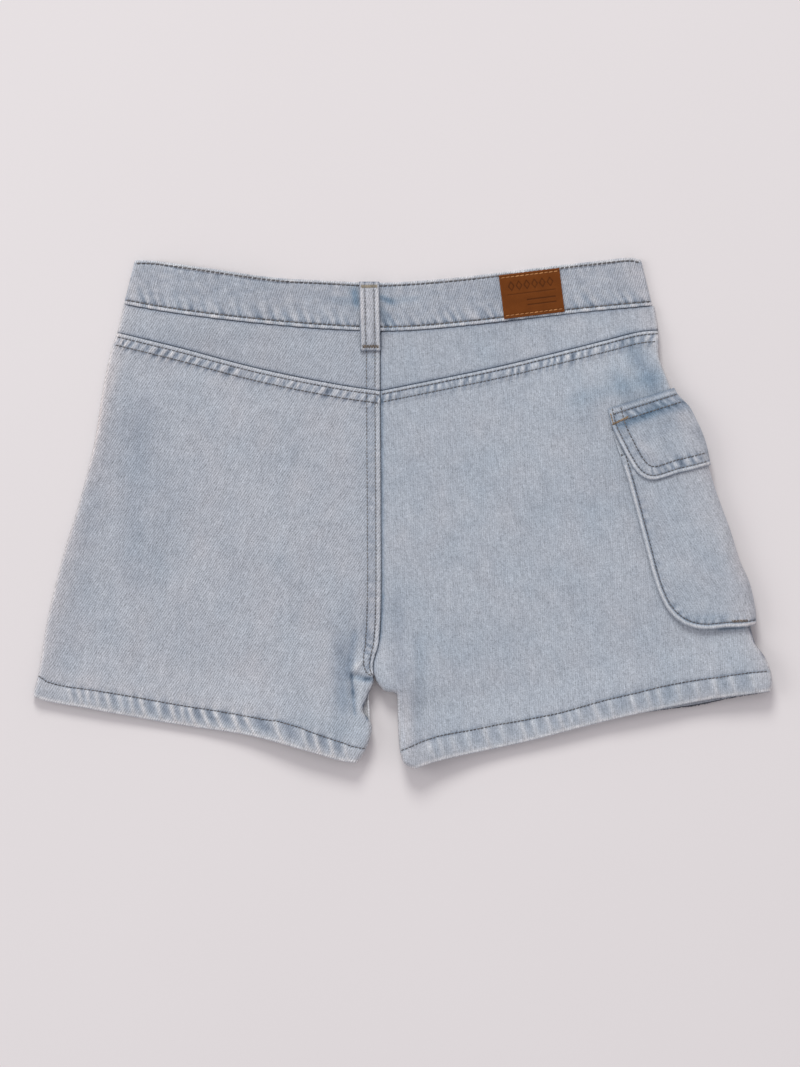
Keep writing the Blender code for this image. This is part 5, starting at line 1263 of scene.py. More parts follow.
def band_detail(plan, down, up):
    """Relief and tone of the waistband's outer face, at distances from its top and lower edges."""
    travel = R["band_low"].near(plan)[0]
    slanted = travel + 0.5 * up
    high, high_tone = row_detail(down, travel, BAND_ROW_TOP, *TOP_GATHER)
    low, low_tone = row_detail(up, slanted, BAND_ROW_LOW, *LOW_GATHER)
    lips = 0.18 * bump_at(down, 0.9, 0.8) + 0.22 * bump_at(up, 1.3, 1.0)
    drag = pucker(slanted, *DRAG) * soft_step((down - 2.0) / 6.0) * soft_step((16.0 - up) / 12.0)
    relief = high + 1.8 * low + lips + 0.28 * drag + 0.3 * waves(plan, 24.0, 31.0) * soft_step(up / 5.0)
    patchy = waves(np.column_stack([travel, 2 * up]), 6.0, 12.0)
    # the dark line at the band's lower edge, where it lies over the yoke, and the rows' dark lines are
    # painted shade
    tone = (0.6 * high_tone + 1.9 * low_tone + (0.6 + 0.5 * patchy) * bump_at(down, 0.8, 0.9)
            + (0.5 + 0.4 * patchy) * bump_at(up, 1.3, 0.75) - 0.5 * bump_at(up, 0.0, 0.5)
            + 0.34 * drag + 0.25 * patchy - 0.14 + 0.6 * bump_at(up, BAND_ROW_LOW, DARK_LINE))
    spots, dye = shade(plan)
    return relief, tone + spots, dye + 0.3 * np.clip(-drag, 0, 1) + left_blue(tone)


def band_bend(angles, right):
    """Shares of the band's length at its outer and inner face, where it turns round an end."""
    length = R["band_low"].length
    outer = BAND_ROLL * (1 - np.cos(angles)) / length
    inner = (BAND_WALL + (BAND_ROLL - BAND_WALL) * (1 - np.cos(angles))) / length
    return (1 - outer, 1 - inner) if right else (outer, inner)


def band_stations():
    """Along the strip: shares of the band's length at its outer and inner face, the run, and the turn."""
    length = R["band_low"].length
    end = BAND_ROLL / length
    arc = np.radians(np.linspace(-90, 90, BEND_STATIONS))
    front = np.linspace(LAP_END, 1 - end, FRONT_STATIONS)[:-1]
    back = np.linspace(1 - end, end, round((1 - 2 * end) * length / FINE))[1:-1]
    under = np.linspace(end, UNDERLAP_END, UNDERLAP_STATIONS)[1:]
    runs = [(front, front, FRONT_RUN, front * 0), (*band_bend(arc, True), BEND_RUN, arc),
            (back, back, BACK_RUN, back * 0), (*band_bend(arc[::-1], False), BEND_RUN, arc[::-1]),
            (under, under, UNDER_RUN, under * 0)]
    outer, inner, run, turn = zip(*((outer, inner, np.full(len(turn), run), turn)
                                    for outer, inner, run, turn in runs))
    return [np.concatenate(values) for values in (outer, inner, run, turn)]


def band_faces(count, rows):
    """Faces round the strip, from station to station, and the caps of its two ends."""
    ring = 2 * rows
    last = (count - 1) * ring
    faces = grid_faces(count, ring, closed=True).tolist()
    for k in range(rows - 1):
        faces.append((k, k + 1, ring - 2 - k, ring - 1 - k))
        faces.append((last + k + 1, last + k, last + ring - 1 - k, last + ring - 2 - k))
    return faces


def band_peep(x):
    return sum(soft_step((x - peep.start) / 18.0) * soft_step((peep.end - x) / 22.0) for peep in PEEPS)


def band_heights(outer, outer_share, run, turn):
    """Heights of the strip's outer and inner face, before its relief."""
    length = R["band_low"].length
    z = stack(outer)
    front, back = z["skirt_low"], z["band_back_low"]
    climb = (outer_share * length - UNDERLAP_START) / (LAP_END * length - UNDERLAP_MARGIN)
    step = soft_step(climb) * (BAND_WALL + PLY_GAP)
    middle = (front + back + BAND_WALL) / 2
    swing = np.abs(np.sin(turn))
    outward = np.where(turn > 0, back + BAND_WALL, front) - middle
    inward = np.where(turn > 0, back, front + BAND_WALL) - middle
    runs = [run == FRONT_RUN, run == BEND_RUN, run == BACK_RUN]
    return (np.select(runs, [front, middle + swing * outward, back + BAND_WALL], front + step),
            np.select(runs, [front + BAND_WALL, middle + swing * inward, back], front + step + BAND_WALL))


def make_waistband():
    """One strip: front lap, across the front, round the right side, along the back, and in again."""
    outer_share, inner_share, run, turn = band_stations()
    across = BAND_TICKS / BAND_WIDTH
    edge = np.minimum(across, 1 - across) * BAND_WIDTH / BAND_ROUNDING
    count, rows = len(run), len(across)
    thickness = np.tile(BAND_EDGE_SHARE + (1 - BAND_EDGE_SHARE) * round_off(edge), count)[:, None]
    widths = np.broadcast_to(across, (count, rows))
    outer, inner = [band_points(np.repeat(share[:, None], rows, 1), widths).reshape(-1, 2)
                    for share in (outer_share, inner_share)]
    outer_share, run, turn = [np.repeat(values, rows) for values in (outer_share, run, turn)]
    low, high = band_heights(outer, outer_share, run, turn)
    down, up = -R["band_top"].near(outer)[1], R["band_low"].near(outer)[1]
    relief, tone, dye = band_detail(outer, down, up)
    on_back = run == BACK_RUN
    low = low + np.where(on_back, relief, np.where(run == FRONT_RUN, -0.25 * np.minimum(relief, 0), 0.0))
    faces_of = [np.column_stack([outer, low]), np.column_stack([inner, high])]
    middle = (faces_of[0] + faces_of[1]) / 2
    peep = np.where(on_back, BAND_PEEP * band_peep(outer[:, 0]) * np.clip(1 - down / 8.0, 0, 1), 0.0)
    for k, face in enumerate(faces_of):
        faces_of[k] = middle + (face - middle) * thickness
        faces_of[k][:, 1] -= peep

    def both(values, others=None):
        """Values of the outer face, then of the inner one the other way round, from station to station."""
        values = values.reshape(count, rows, -1)
        others = values if others is None else others.reshape(count, rows, -1)
        return np.concatenate([values, others[:, ::-1]], axis=1).reshape(count * 2 * rows, -1)

    return mesh_piece("cloth_waistband", both(*faces_of), band_faces(count, rows), DENIM, "waistband",
                      cloth=both(on_cloth(outer, 4.0, 8.0)), tone=both(tone)[:, 0], dye=both(dye)[:, 0])


# ---------------------------------------------------------------- belt loop, patch and button
LOOP_TOP = Place("loop top", -21.6, 311.4)
LOOP_FOOT = Place("loop foot", -20.7, 266.9)
LOOP_WIDTH = 12.9
LOOP_TACK = 3.0                  # the loop is tacked down this far from its ends
LOOP_STAND = 1.5                 # between them it stands this far off the band
LOOP_FREE = (0.08, 0.92)         # shares of its length between which it stands off
LOOP_DROP = (0.66, 0.9)          # and between which it goes down from the band to the yoke
LOOP_ROWS = (-2.9, 2.9)


def band_high(plan):
    return stack(plan)["band_back_low"] + BAND_WALL


def yoke_high(plan):
    across = np.abs(R["centre_back"].near(plan)[1])
    rise = FELL_RISE * (1 - soft_step((across - FELL_WIDTH) / FELL_EDGE)) * (plan[:, 0] < CENTRE_BACK[0].x)
    return stack(plan)["back_high"] + fold_relief(plan) + rise


LOOP_TICKS = np.concatenate([[0.0, 0.006, 0.015, 0.03], np.linspace(0.05, 0.96, 62), [0.975, 0.988, 1.0]])
LOOP_HALF = np.array([-0.5, -0.492, -0.47, -0.44, -0.4, -0.35, -0.3, -0.26, -0.225, -0.19, -0.15, -0.08, 0.0])
LOOP_ROUNDING = 1.4              # its long edges are rounded over this distance, and its ends over the next
LOOP_END_ROUNDING = 1.2
LOOP_DYE = -0.35


def make_belt_loop():
    """A folded strip with two rows of stitches, tacked down at both ends."""
    across = np.concatenate([LOOP_HALF, -LOOP_HALF[-2::-1]])
    s, side = [a.ravel() for a in np.meshgrid(LOOP_TICKS, across, indexing="ij")]
    x = LOOP_TOP.x + (LOOP_FOOT.x - LOOP_TOP.x) * s
    y = LOOP_TOP.y + (LOOP_FOOT.y - LOOP_TOP.y) * s
    foot_rest = float(yoke_high(np.array([[LOOP_FOOT.x, LOOP_FOOT.y + LOOP_TACK]]))[0])
    top_rest = float(band_high(np.array([[LOOP_TOP.x, LOOP_TOP.y - LOOP_TACK]]))[0])
    drop = soft_step((s - LOOP_DROP[0]) / (LOOP_DROP[1] - LOOP_DROP[0]))
    free = np.clip((s - LOOP_FREE[0]) / (LOOP_FREE[1] - LOOP_FREE[0]), 0.0, 1.0)
    low = top_rest + (foot_rest - top_rest) * drop + SEAM_GAP + LOOP_STAND * np.sin(math.pi * free)
    off = side * LOOP_WIDTH
    ends = np.minimum(s, 1 - s) * (LOOP_TOP.y - LOOP_FOOT.y)
    rims = (0.5 - np.abs(side)) * LOOP_WIDTH
    rounding = round_off(rims / LOOP_ROUNDING) * (0.35 + 0.65 * soft_step(ends / LOOP_END_ROUNDING))
    groove = sum(bump_at(off, row, ROW_GROOVE) for row in LOOP_ROWS)
    tacks = bump_at(ends, LOOP_TACK, 1.3) * (np.abs(off) < 5.4)
    relief = (0.15 * np.cos(off * 2 * math.pi / 6.4) - 0.4 * groove - 0.35 * tacks
              + 0.1 * waves(np.column_stack([x * 2, y]), 5.0, 3.0))
    top = np.column_stack([x + off, y, low + LOOP_WALL * (0.25 + 0.75 * rounding) + relief * rounding])
    bottom = np.column_stack([x + off, y, low])
    edges = bump_at(rims, 0.0, 0.6) + bump_at(ends, 0.0, 0.8)
    # darker rims and ends are painted shade on the raised loop's rounded edges; darker grooves and tacks are
    # painted shade in their dents
    tone = 0.5 * bump_at(rims, 1.5, 0.9) - 0.9 * edges - 0.5 * groove - 0.3 * tacks
    cloth = np.column_stack([off, y, np.full(len(y), 9.0)])
    return wall("cloth_belt_loop", top, bottom, grid_faces(len(LOOP_TICKS), len(across)), cloth, tone, DENIM,
                "belt_loop", dye=LOOP_DYE)


PATCH_CORNER = Place("patch upper left", 61.2, 315.4)
PATCH_SIZE = (39.0, 28.2)
PATCH_TILT = math.radians(7.1)
PATCH_ROW = 1.9                  # stitches in from the patch's top and bottom edges
PATCH_ROUNDING = 0.4
PATCH_STEP = 0.36
PATCH_RIM = np.array([0.0, 0.12, 0.3])
PRESS = 0.22                     # depth of the design


def patch_place(u, v):
    """Plan points of the patch, at millimetres from its upper left corner."""
    right = np.array([math.cos(PATCH_TILT), math.sin(PATCH_TILT)])
    down = np.array([math.sin(PATCH_TILT), -math.cos(PATCH_TILT)])
    return (np.array(PATCH_CORNER[1:]) + np.multiply.outer(u, right) + np.multiply.outer(v, down))


def pressed(u, v):
    """A plain design pressed into the patch: a row of diamonds over a line, and two short lines."""
    inner = (u > 4.0) * (u < 35.0)
    diamond = np.abs((u - 4.6) % 5.0 - 2.5) / 2.1 + np.abs(v - 8.0) / 3.2
    outline = np.abs(diamond - 0.85)
    diamonds = (1 - soft_step((outline - 0.1) / 0.14)) * inner * (u < 34.6)
    rule = (1 - soft_step((np.abs(v - 13.2) - 0.15) / 0.3)) * inner
    short = sum((1 - soft_step((np.abs(v - level) - 0.2) / 0.3)) * (u > 16.0) * (u < 34.6)
                for level in (17.6, 21.0))
    return np.clip(diamonds + rule + short, 0, 1)


def make_patch():
    """A thin leather-like patch that follows the band."""
    width, height = PATCH_SIZE
    tick_u, tick_v = [np.concatenate([PATCH_RIM, np.arange(0.6, side - 0.4, PATCH_STEP),
                                      side - PATCH_RIM[::-1]])
                      for side in PATCH_SIZE]
    v, u = [a.ravel() for a in np.meshgrid(tick_v, tick_u, indexing="ij")]
    plan = patch_place(u, v)
    rims = np.minimum(np.minimum(u, width - u), np.minimum(v, height - v))
    rows = bump_at(np.minimum(v, height - v), PATCH_ROW, 0.6)
    design = pressed(u, v)
    sag = 0.22 * waves(plan, 14.0, 2.0) - 0.1
    base = band_high(plan) + SEAM_GAP
    rounding = 0.55 + 0.45 * round_off(rims / PATCH_ROUNDING)
    top = np.column_stack([plan, base + PATCH_WALL * rounding + sag - PRESS * design - 0.25 * rows])
    bottom = np.column_stack([plan, base])
    tone = -0.75 * design + 0.35 * bump_at(rims, 0.1, 0.3) - 0.3 * rows
    cloth = np.column_stack([u, v, np.full(len(u), 3.0)])
    faces = grid_faces(len(tick_v), len(tick_u))
    return wall("leather_patch", top, bottom, faces, cloth, tone, LEATHER, "patch",
                slot="patch_leather")


BUTTON_PROFILE = [               # distance from the middle, and height, from the face round to the back
    (0.0, 0.35), (1.6, 0.35), (1.9, 0.5), (2.3, 0.5), (2.6, 0.35), (5.2, 0.35), (5.6, 0.15), (6.2, 0.1),
    (6.6, 0.0), (7.5, 0.0), (8.1, 0.15), (8.45, 0.5), (BUTTON_RADIUS, 0.85), (8.35, 1.2), (7.9, 1.45),
    (7.0, BUTTON_HEIGHT), (0.0, BUTTON_HEIGHT)]
BUTTON_AROUND = 72


def make_button():
    """The flat button on the lap, face down: a rolled rim round a dished face with plain rings."""
    x, y = button_centre()
    around = BUTTON_AROUND
    angle = 2 * math.pi * np.arange(around) / around
    points = [(x, y, BUTTON_PROFILE[0][1]), (x, y, BUTTON_PROFILE[-1][1])]
    for r, z in BUTTON_PROFILE[1:-1]:
        points += [(x + r * math.cos(a), y + r * math.sin(a), z) for a in angle]
    rings = len(BUTTON_PROFILE) - 2
    faces = []
    for k in range(around):
        n = (k + 1) % around
        faces.append((0, 2 + n, 2 + k))
        faces += [(2 + i * around + k, 2 + i * around + n, 2 + (i + 1) * around + n, 2 + (i + 1) * around + k)
                  for i in range(rings - 1)]
        faces.append((1, 2 + (rings - 1) * around + k, 2 + (rings - 1) * around + n))
    points = np.array(points)
    return mesh_piece("metal_button", points, faces, METAL, "button", slot="button_metal",
                      cloth=points, tone=np.zeros(len(points)))


# ---------------------------------------------------------------- cargo pocket and flap
QUARTER = math.pi / 2 * (ROLL + 3.0)      # surface length from the outermost line to the flat of the leg
OUTLINE_STEP = 1.5
ARC_TICKS = 17                            # places round the side, where the wall turns
TURN_STEP = 6.0                           # relief fades from the back to the front half over this distance


def to_wrap(plan):
    """Surface distance round the side (0 outermost, positive on the back) and distance down."""
    down, inward = pocket_frame(plan)
    return inward - side_edge(down) - ROLL + QUARTER, down


def round_side(around, down, height):
    """Plan points of positions round the side, at a height over the leg."""
    over = np.clip(np.abs(around) - QUARTER, 0.0, None)
    angle = np.clip(around / QUARTER, -1.0, 1.0) * math.pi / 2
    return from_pocket_frame(down, side_edge(down) + ROLL - (ROLL + height) * np.cos(angle) + over)


def wrap(around, down, back, front):
    """Points at heights over the leg, for positions round its side; heights may vary by point."""
    over = np.clip(np.abs(around) - QUARTER, 0.0, None)
    angle = np.clip(around / QUARTER, -1.0, 1.0) * math.pi / 2
    blend = 0.5 + 0.5 * np.sin(angle)
    height = front + (back - front) * blend + SIDE_BULGE * np.cos(angle)
    flat = from_pocket_frame(down, side_edge(down) + ROLL + over)
    z = stack(flat)
    over_leg = z["back_high"] + fold_relief(flat) + back
    under_leg = z["skirt_low"] - front
    middle = (z["back_high"] + z["skirt_low"]) / 2
    lifted = np.where(angle >= 0, middle + np.sin(angle) * (over_leg - middle),
                      middle + np.sin(angle) * (middle - under_leg))
    return np.column_stack([round_side(around, down, height), lifted])


def around_ticks(half, spacing):
    """Places from -half to half, close together where the wall turns round the side."""
    run = np.linspace(QUARTER, half, max(2, round((half - QUARTER) / spacing) + 1))[1:]
    return np.concatenate([-run[::-1], np.linspace(-QUARTER, QUARTER, ARC_TICKS), run])


def wrapped_outline(edge_places, foot):
    """Closed outline round the side: the edge that shows, the bottom, and the same edge on the front."""
    around, down = to_wrap(smooth_line(edge_places, OUTLINE_STEP))
    bottom = around_ticks(around[-1], OUTLINE_STEP)[::-1][1:-1]
    level = foot + (down[-1] - foot) * (bottom / around[-1]) ** 2
    return np.vstack([np.column_stack([around, down]), np.column_stack([bottom, level]),
                      np.column_stack([-around[::-1], down[::-1]])])


BAND_DEPTHS = (0.35, 0.9, 1.6, 2.3, 2.9, 3.5, 4.2)      # rows of points this far inside an outline
PAST_BANDS = 4.6                                        # the lattice starts past them


def filled(outline):
    """Triangles over a closed outline whose last stretch is its straight top edge, and its edge as a rail."""
    top = around_ticks(outline[0][0], FINE)[1:-1]
    ring = np.vstack([outline, np.column_stack([top, np.full(len(top), outline[0][1])])])
    closed = Rail(np.vstack([ring, ring[:1]]))
    low, high = ring.min(axis=0), ring.max(axis=0)
    columns = around_ticks(high[0], FINE)
    grid = np.array([(u, v) for v in np.arange(low[1], high[1], FINE) for u in columns])
    travel = np.arange(0.0, closed.length, 0.9 * FINE)
    inward = closed.normal(travel) * way_in(ring)
    rows = np.vstack([closed.at(travel) + inward * depth for depth in BAND_DEPTHS])
    rows = rows[inside(ring, rows)]
    grid = grid[inside(ring, grid)]
    grid = grid[np.abs(closed.near(grid)[1]) > PAST_BANDS]
    rows = rows[np.abs(closed.near(rows)[1]) > 0.2]
    plan, faces = triangulate([tuple(p) for p in np.vstack([ring, rows, grid])], len(ring))
    return plan, faces, closed


def way_in(ring):
    """1 where the inside of a closed ring is to the left of its travel, or -1."""
    x, y = ring[:, 0], ring[:, 1]
    return float(np.sign(np.sum(x * np.roll(y, -1) - np.roll(x, -1) * y)))


def layered(node, plan, faces, low_back, high_back, low_front, high_front, tone, seed):
    """A wall round the side of the leg."""
    top = wrap(plan[:, 0], plan[:, 1], high_back, high_front)
    bottom = wrap(plan[:, 0], plan[:, 1], low_back, low_front)
    cloth = np.column_stack([plan[:, 0], -plan[:, 1], np.full(len(plan), float(seed))])
    spots, spot_dye = shade(top[:, :2])
    look = LOOKS[node]
    return wall("cloth_" + node, top, bottom, faces, cloth, tone + look.tone + spots, DENIM_PLAIN, node,
                dye=look.dye + left_blue(tone) + spot_dye)


TURNED_ROUNDING = 0.6            # a turned edge is rounded off over this distance, to a share of its wall
TURNED_SHARE = 0.45


def edge_wall(d):
    """Share of full thickness near a turned edge."""
    return TURNED_SHARE + (1 - TURNED_SHARE) * round_off(d / TURNED_ROUNDING)


def heights(layer, seam_layer, rise, d, relief, outward):
    """Low and high faces on the back and on the front half: thin at the edge, with relief on the outside."""
    mixed = [seam + (over - seam) * rise for seam, over in zip(seam_layer[1:], layer[1:])]
    thin = edge_wall(d)
    back_mid, front_mid = (mixed[0] + mixed[1]) / 2, (mixed[2] + mixed[3]) / 2
    back_half, front_half = (mixed[1] - mixed[0]) / 2 * thin, (mixed[3] - mixed[2]) / 2 * thin
    return (back_mid - back_half, back_mid + back_half + relief * outward,
            front_mid - front_half, front_mid + front_half + np.minimum(relief, 0.0) * (1 - outward))


MOUTH_REACH = 6.0                # the pocket's edge rows end this far below its mouth
POCKET_GATHER = Gather(7.0, 2.2)


def make_pocket():
    plan, faces, closed = filled(wrapped_outline(POCKET_EDGE, POCKET_FOOT))
    travel, across = closed.near(plan)
    d = np.abs(across)
    mouth = to_wrap(np.array([POCKET_EDGE[0][1:]]))[1][0]
    below_mouth = np.where(plan[:, 1] < mouth + MOUTH_REACH, 0.0, 1.0)
    row, row_tone = row_detail(d, travel, POCKET_ROW, *POCKET_GATHER)
    outward = soft_step(plan[:, 0] / TURN_STEP + 0.5)
    soft = waves(plan, 30.0, 5.0) * 0.7 + waves(plan, 12.0, 6.0) * 0.2
    relief = (row + 0.3 * bump_at(d, 1.2, 1.0)) * below_mouth + soft * soft_step(d / 8.0)
    # the paler lip at the folded edge is painted highlight, and the darker line inside it, by the row,
    # painted shade
    tone = row_tone * 1.2 + 0.8 * bump_at(d, 1.0, 0.8) - 0.35 * bump_at(d, 2.4, 0.6)
    tone = tone * below_mouth + 0.1 * soft
    layered("pocket", plan, faces, *heights(POCKET_LAYER, POCKET_LAYER, 1.0, d, relief, outward), tone, 11.0)


Strand = namedtuple("Strand", "depth thick tone")
# the strands' tone: painted shade along the outer line beside the pocket's edge, then a paler lip of painted
# highlight
GUSSET_STRANDS = [               # lines of points along the gusset, from outside to inside
    Strand(-0.5, 0.55, -0.3), Strand(-0.3, 0.85, 0.1), Strand(0.2, 1.0, 0.5), Strand(1.0, 1.0, 0.3),
    Strand(2.4, 1.0, 0.0), Strand(4.6, 0.8, 0.0)]


def make_gusset():
    """The bellows strip: it follows the pocket's edge, a little outside the pocket's face."""
    strip = Rail(wrapped_outline([GUSSET_TOP] + POCKET_EDGE, POCKET_FOOT))
    depths, thick, tones = [np.array(column) for column in zip(*GUSSET_STRANDS)]
    normal = strip.normal(strip.travel)
    plan = (strip.points[:, None, :] + normal[:, None, :] * depths[None, :, None]).reshape(-1, 2)
    count = len(strip.points)
    low_back, high_back, low_front, high_front = GUSSET_LAYER[1:]
    full = 0.35 + 0.65 * soft_step((plan[:, 1] - 12.0) / 20.0)
    high_back = low_back + (high_back - low_back) * full * np.tile(thick, count)
    layered("pocket_gusset", plan, grid_faces(count, len(depths)), low_back, high_back, low_front, high_front,
            np.tile(tones, count), 12.0)


FLAP_RISE = Fade(3.0, 14.0)      # down from its seam the flap rises over the pocket
FLAP_GATHER = Fade(34.0, 14.0)   # along its edge the gathers set in


def make_flap():
    """Sewn to the leg along its top edge, then over the pocket's mouth."""
    plan, faces, closed = filled(wrapped_outline(FLAP_EDGE, FLAP_FOOT))
    travel, across = closed.near(plan)
    d = np.abs(across)
    rise = soft_step((plan[:, 1] - FLAP_RISE.start) / FLAP_RISE.run)
    top_down = plan[:, 1] - plan[:, 1].min()
    gather = 0.3 + 0.6 * soft_step((travel - FLAP_GATHER.start) / FLAP_GATHER.run)
    by_top = soft_step(1 - (top_down - d) / 3.0)
    edge_relief, edge_tone = seam_detail(np.maximum(d - FLAP_TOP_DROP * by_top, 0.3 * d), travel,
                                         Seam("flap edge", FLAP_ROWS, 5.6, 1.9, gather, 0.9))
    outward = soft_step(plan[:, 0] / TURN_STEP + 0.5)
    patchy = waves(plan, 9.0, 15.0)
    shadow = 1.1 * bump_at(top_down, 11.5, 3.6) * (0.7 + 0.9 * patchy) + 0.3 * bump_at(top_down, 5.5, 3.0)
    relief = edge_relief * 0.9 + 0.4 * waves(plan, 22.0, 8.0) * soft_step(d / 8.0)
    # the paler lips along the folded edges are painted highlight, and shadow is painted shade under the top
    # rows
    tone = (0.75 * edge_tone + 0.4 * bump_at(d, 1.3, 1.0) * (top_down > 16.0)
            + 0.3 * bump_at(top_down, 1.6, 1.2) - 0.4 * shadow + 0.25 * patchy)
    faces_of = heights(FLAP_LAYER, FLAP_SEAM_LAYER, rise, d, relief, outward)
    layered("pocket_flap", plan, faces, *faces_of, tone, 14.0)


# ---------------------------------------------------------------- stitches
RNG = np.random.default_rng(7)


def seat(tree, plan, above=True, reach=60.0):
    """Heights of a piece's outer face at plan points; not a number where the piece isn't."""
    way = Vector((0, 0, -1 if above else 1))
    start = reach if above else -reach
    result = []
    for x, y in plan:
        hit = tree.ray_cast(Vector((x, y, start)), way)[0]
        result.append(hit.z if hit is not None else float("nan"))
    return np.array(result)


SLANT = 0.13                     # a stitch's ends lie this far to either side of its row
UNEVEN = 0.12                    # and start this much early or late
SUNK = 0.1                       # and this deep in the cloth


def row_stitches(line, pitch, piece, above=True, proud=0.12, gap=0.12):
    """Stitches along a line in plan, lying on a piece: the ends and the middle of each thread."""
    line = Rail(line)
    count = max(1, round(line.length / pitch))
    real = line.length / count
    start = (np.arange(count) + gap / 2) * real + RNG.uniform(-UNEVEN, UNEVEN, count)
    ends = start + (1 - gap) * real
    places = [np.clip(t, 0, line.length) for t in (start, (start + ends) / 2, ends)]
    side = 1.0 if above else -1.0
    points = []
    for place, lift_by, aside in zip(places, (-SUNK, proud, -SUNK), (-SLANT, 0.0, SLANT)):
        plan = line.at(place) + line.normal(place) * aside
        z = seat(TREES[piece], plan, above)
        points.append(np.column_stack([plan, z + side * lift_by]))
    points = np.stack(points, axis=1)
    return points[np.isfinite(points).all(axis=(1, 2))], side


THREAD_SIDES = 6
ThreadRing = namedtuple("ThreadRing", "at size")
THREAD_RINGS = [                 # along a stitch, and the share of the thread's radius there
    ThreadRing(0.0, 0.35), ThreadRing(0.1, 0.8), ThreadRing(0.3, 1.0), ThreadRing(0.5, 1.0),
    ThreadRing(0.7, 1.0), ThreadRing(0.9, 0.8), ThreadRing(1.0, 0.35)]
FLATTENED = 0.85


def unit(vector):
    return vector / max(np.linalg.norm(vector), 1e-6)


def sew(name, finish, rows, radius=THREAD):
    """One mesh of all the stitches in rows; each stitch is a short bent thread with six sides."""
    t, size = [np.array(column)[:, None] for column in zip(*THREAD_RINGS)]
    angle = 2 * math.pi * np.arange(THREAD_SIDES) / THREAD_SIDES
    rings = len(THREAD_RINGS)
    tube = [tuple(i * THREAD_SIDES + k for i, k in ((i, k), (i, n), (i + 1, n), (i + 1, k)))
            for i in range(rings - 1)
            for k, n in zip(range(THREAD_SIDES), [*range(1, THREAD_SIDES), 0])]
    tube.append(tuple(range(THREAD_SIDES - 1, -1, -1)))
    tube.append(tuple(range((rings - 1) * THREAD_SIDES, rings * THREAD_SIDES)))
    points, faces, tone = [], [], []
    for stitches, side in rows:
        for a, m, b in stitches:
            way = unit(b - a)
            across = unit(np.cross([0.0, 0.0, side], way))
            up = np.cross(way, across)
            centre = (1 - t) ** 2 * a + 2 * t * (1 - t) * (2 * m - (a + b) / 2) + t ** 2 * b
            turn = np.cos(angle)[None, :, None] * across + FLATTENED * np.sin(angle)[None, :, None] * up
            base = len(points) * rings * THREAD_SIDES
            points.append((centre[:, None, :] + radius * size[:, :, None] * turn).reshape(-1, 3))
            faces += [tuple(base + k for k in face) for face in tube]
            tone.append(np.full(rings * THREAD_SIDES, RNG.uniform(-0.5, 0.5)))
    points = np.vstack(points)
    return mesh_piece(name, points, faces, finish, cloth=points, tone=np.concatenate(tone))


def offset_line(rail_name, offset, start=0.0, end=0.0):
    """A line beside a rail, trimmed (below 0: lengthened) by start and end; offset may follow the travel."""
    line = R[rail_name]
    travel = np.linspace(start, line.length - end, max(2, round(line.length - start - end)))
    across = offset(travel)[:, None] if callable(offset) else offset
    held = np.clip(travel, 0.0, line.length)
    normal = line.normal(held)
    along = np.column_stack([normal[:, 1], -normal[:, 0]])
    return line.at(held) + along * (travel - held)[:, None] + normal * across


def seam_row(seam, offset, start, end):
    """A row beside a seam, which closes up where the seat seam ends."""
    return offset_line(seam.rail, lambda travel: -offset * closing(seam.rail, travel), start, end)


def ring_line(outline, depth):
    """A line inside a wrapped outline."""
    line = Rail(outline)
    travel = np.arange(0.0, line.length, 0.8)
    return line.at(travel) + line.normal(travel) * depth * way_in(outline)


SIDE_CLEAR = 1.5                 # round the side no stitch lies nearer than this to the outermost line
WRAP_ROW_HEIGHT = 3.6            # about how high over the leg the threads lie there
FLAP_TOP_HEIGHT = 2.4
TOP_POINTS = 160


def half_rows(line, piece, height):
    """Stitches along a line round the side: on its back half, then on its front half."""
    halves = ((line[:, 0] > SIDE_CLEAR, True), (line[:, 0] < -SIDE_CLEAR, False))
    return [row_stitches(round_side(*line[part].T, height), STITCH, piece, above) for part, above in halves]


def wrap_rows(outline, depth, piece):
    return half_rows(ring_line(outline, depth), piece, WRAP_ROW_HEIGHT)


SEAT_FOOT = 0.8 * SEAT_END       # the seat rows' dark threads reach this far up from the crotch
HEM_END_OVER = 9.0               # a hem's row runs this far past its rail, to the side fold
FrontRow = namedtuple("FrontRow", "rail offset start end piece")
FRONT_ROWS = [
    FrontRow("left_hem", FRONT_ROW, 1.5, 1.0, "cloth_front_leg_left"),
    FrontRow("skirt_hem", FRONT_ROW, 1.5, 1.0, "cloth_skirt_panel"),
    FrontRow("free_edge", -4.0, 2.0, 6.0, "cloth_skirt_panel"),
    FrontRow("band_top", -3.0, 42.0, 3.0, "cloth_waistband"),
    FrontRow("band_low", 3.0, 42.0, 3.0, "cloth_waistband")]


def seam_rows():
    """Rows on the back's seams and hems: the dark ones, and the paler ones of the upper seat seam."""
    dark, pale = [], []
    for seam, piece, start in ((YOKE_LEFT_SEAM, "cloth_back_leg_left", 0.8),
                               (YOKE_RIGHT_SEAM, "cloth_back_leg_right", 0.5)):
        dark += [row_stitches(seam_row(seam, offset, start, 0.3), STITCH, piece) for offset in seam.rows]
    foot_at = R[CENTRE_SEAM.rail].length - SEAT_FOOT
    for offset in CENTRE_SEAM.rows:
        upper = seam_row(CENTRE_SEAM, offset, 0.0, SEAT_FOOT)
        pale += [row_stitches(upper, STITCH, piece) for piece in ("cloth_yoke_left", "cloth_back_leg_left")]
        dark.append(row_stitches(seam_row(CENTRE_SEAM, offset, foot_at, 0.3), STITCH, "cloth_back_leg_left"))
    for hem, piece in (("left_hem", "cloth_back_leg_left"), ("right_hem", "cloth_back_leg_right")):
        line = offset_line(hem, lambda travel: hem_row(hem, travel), -HEM_END_OVER, -HEM_END_OVER)
        dark.append(row_stitches(line, STITCH, piece))
    return dark, pale


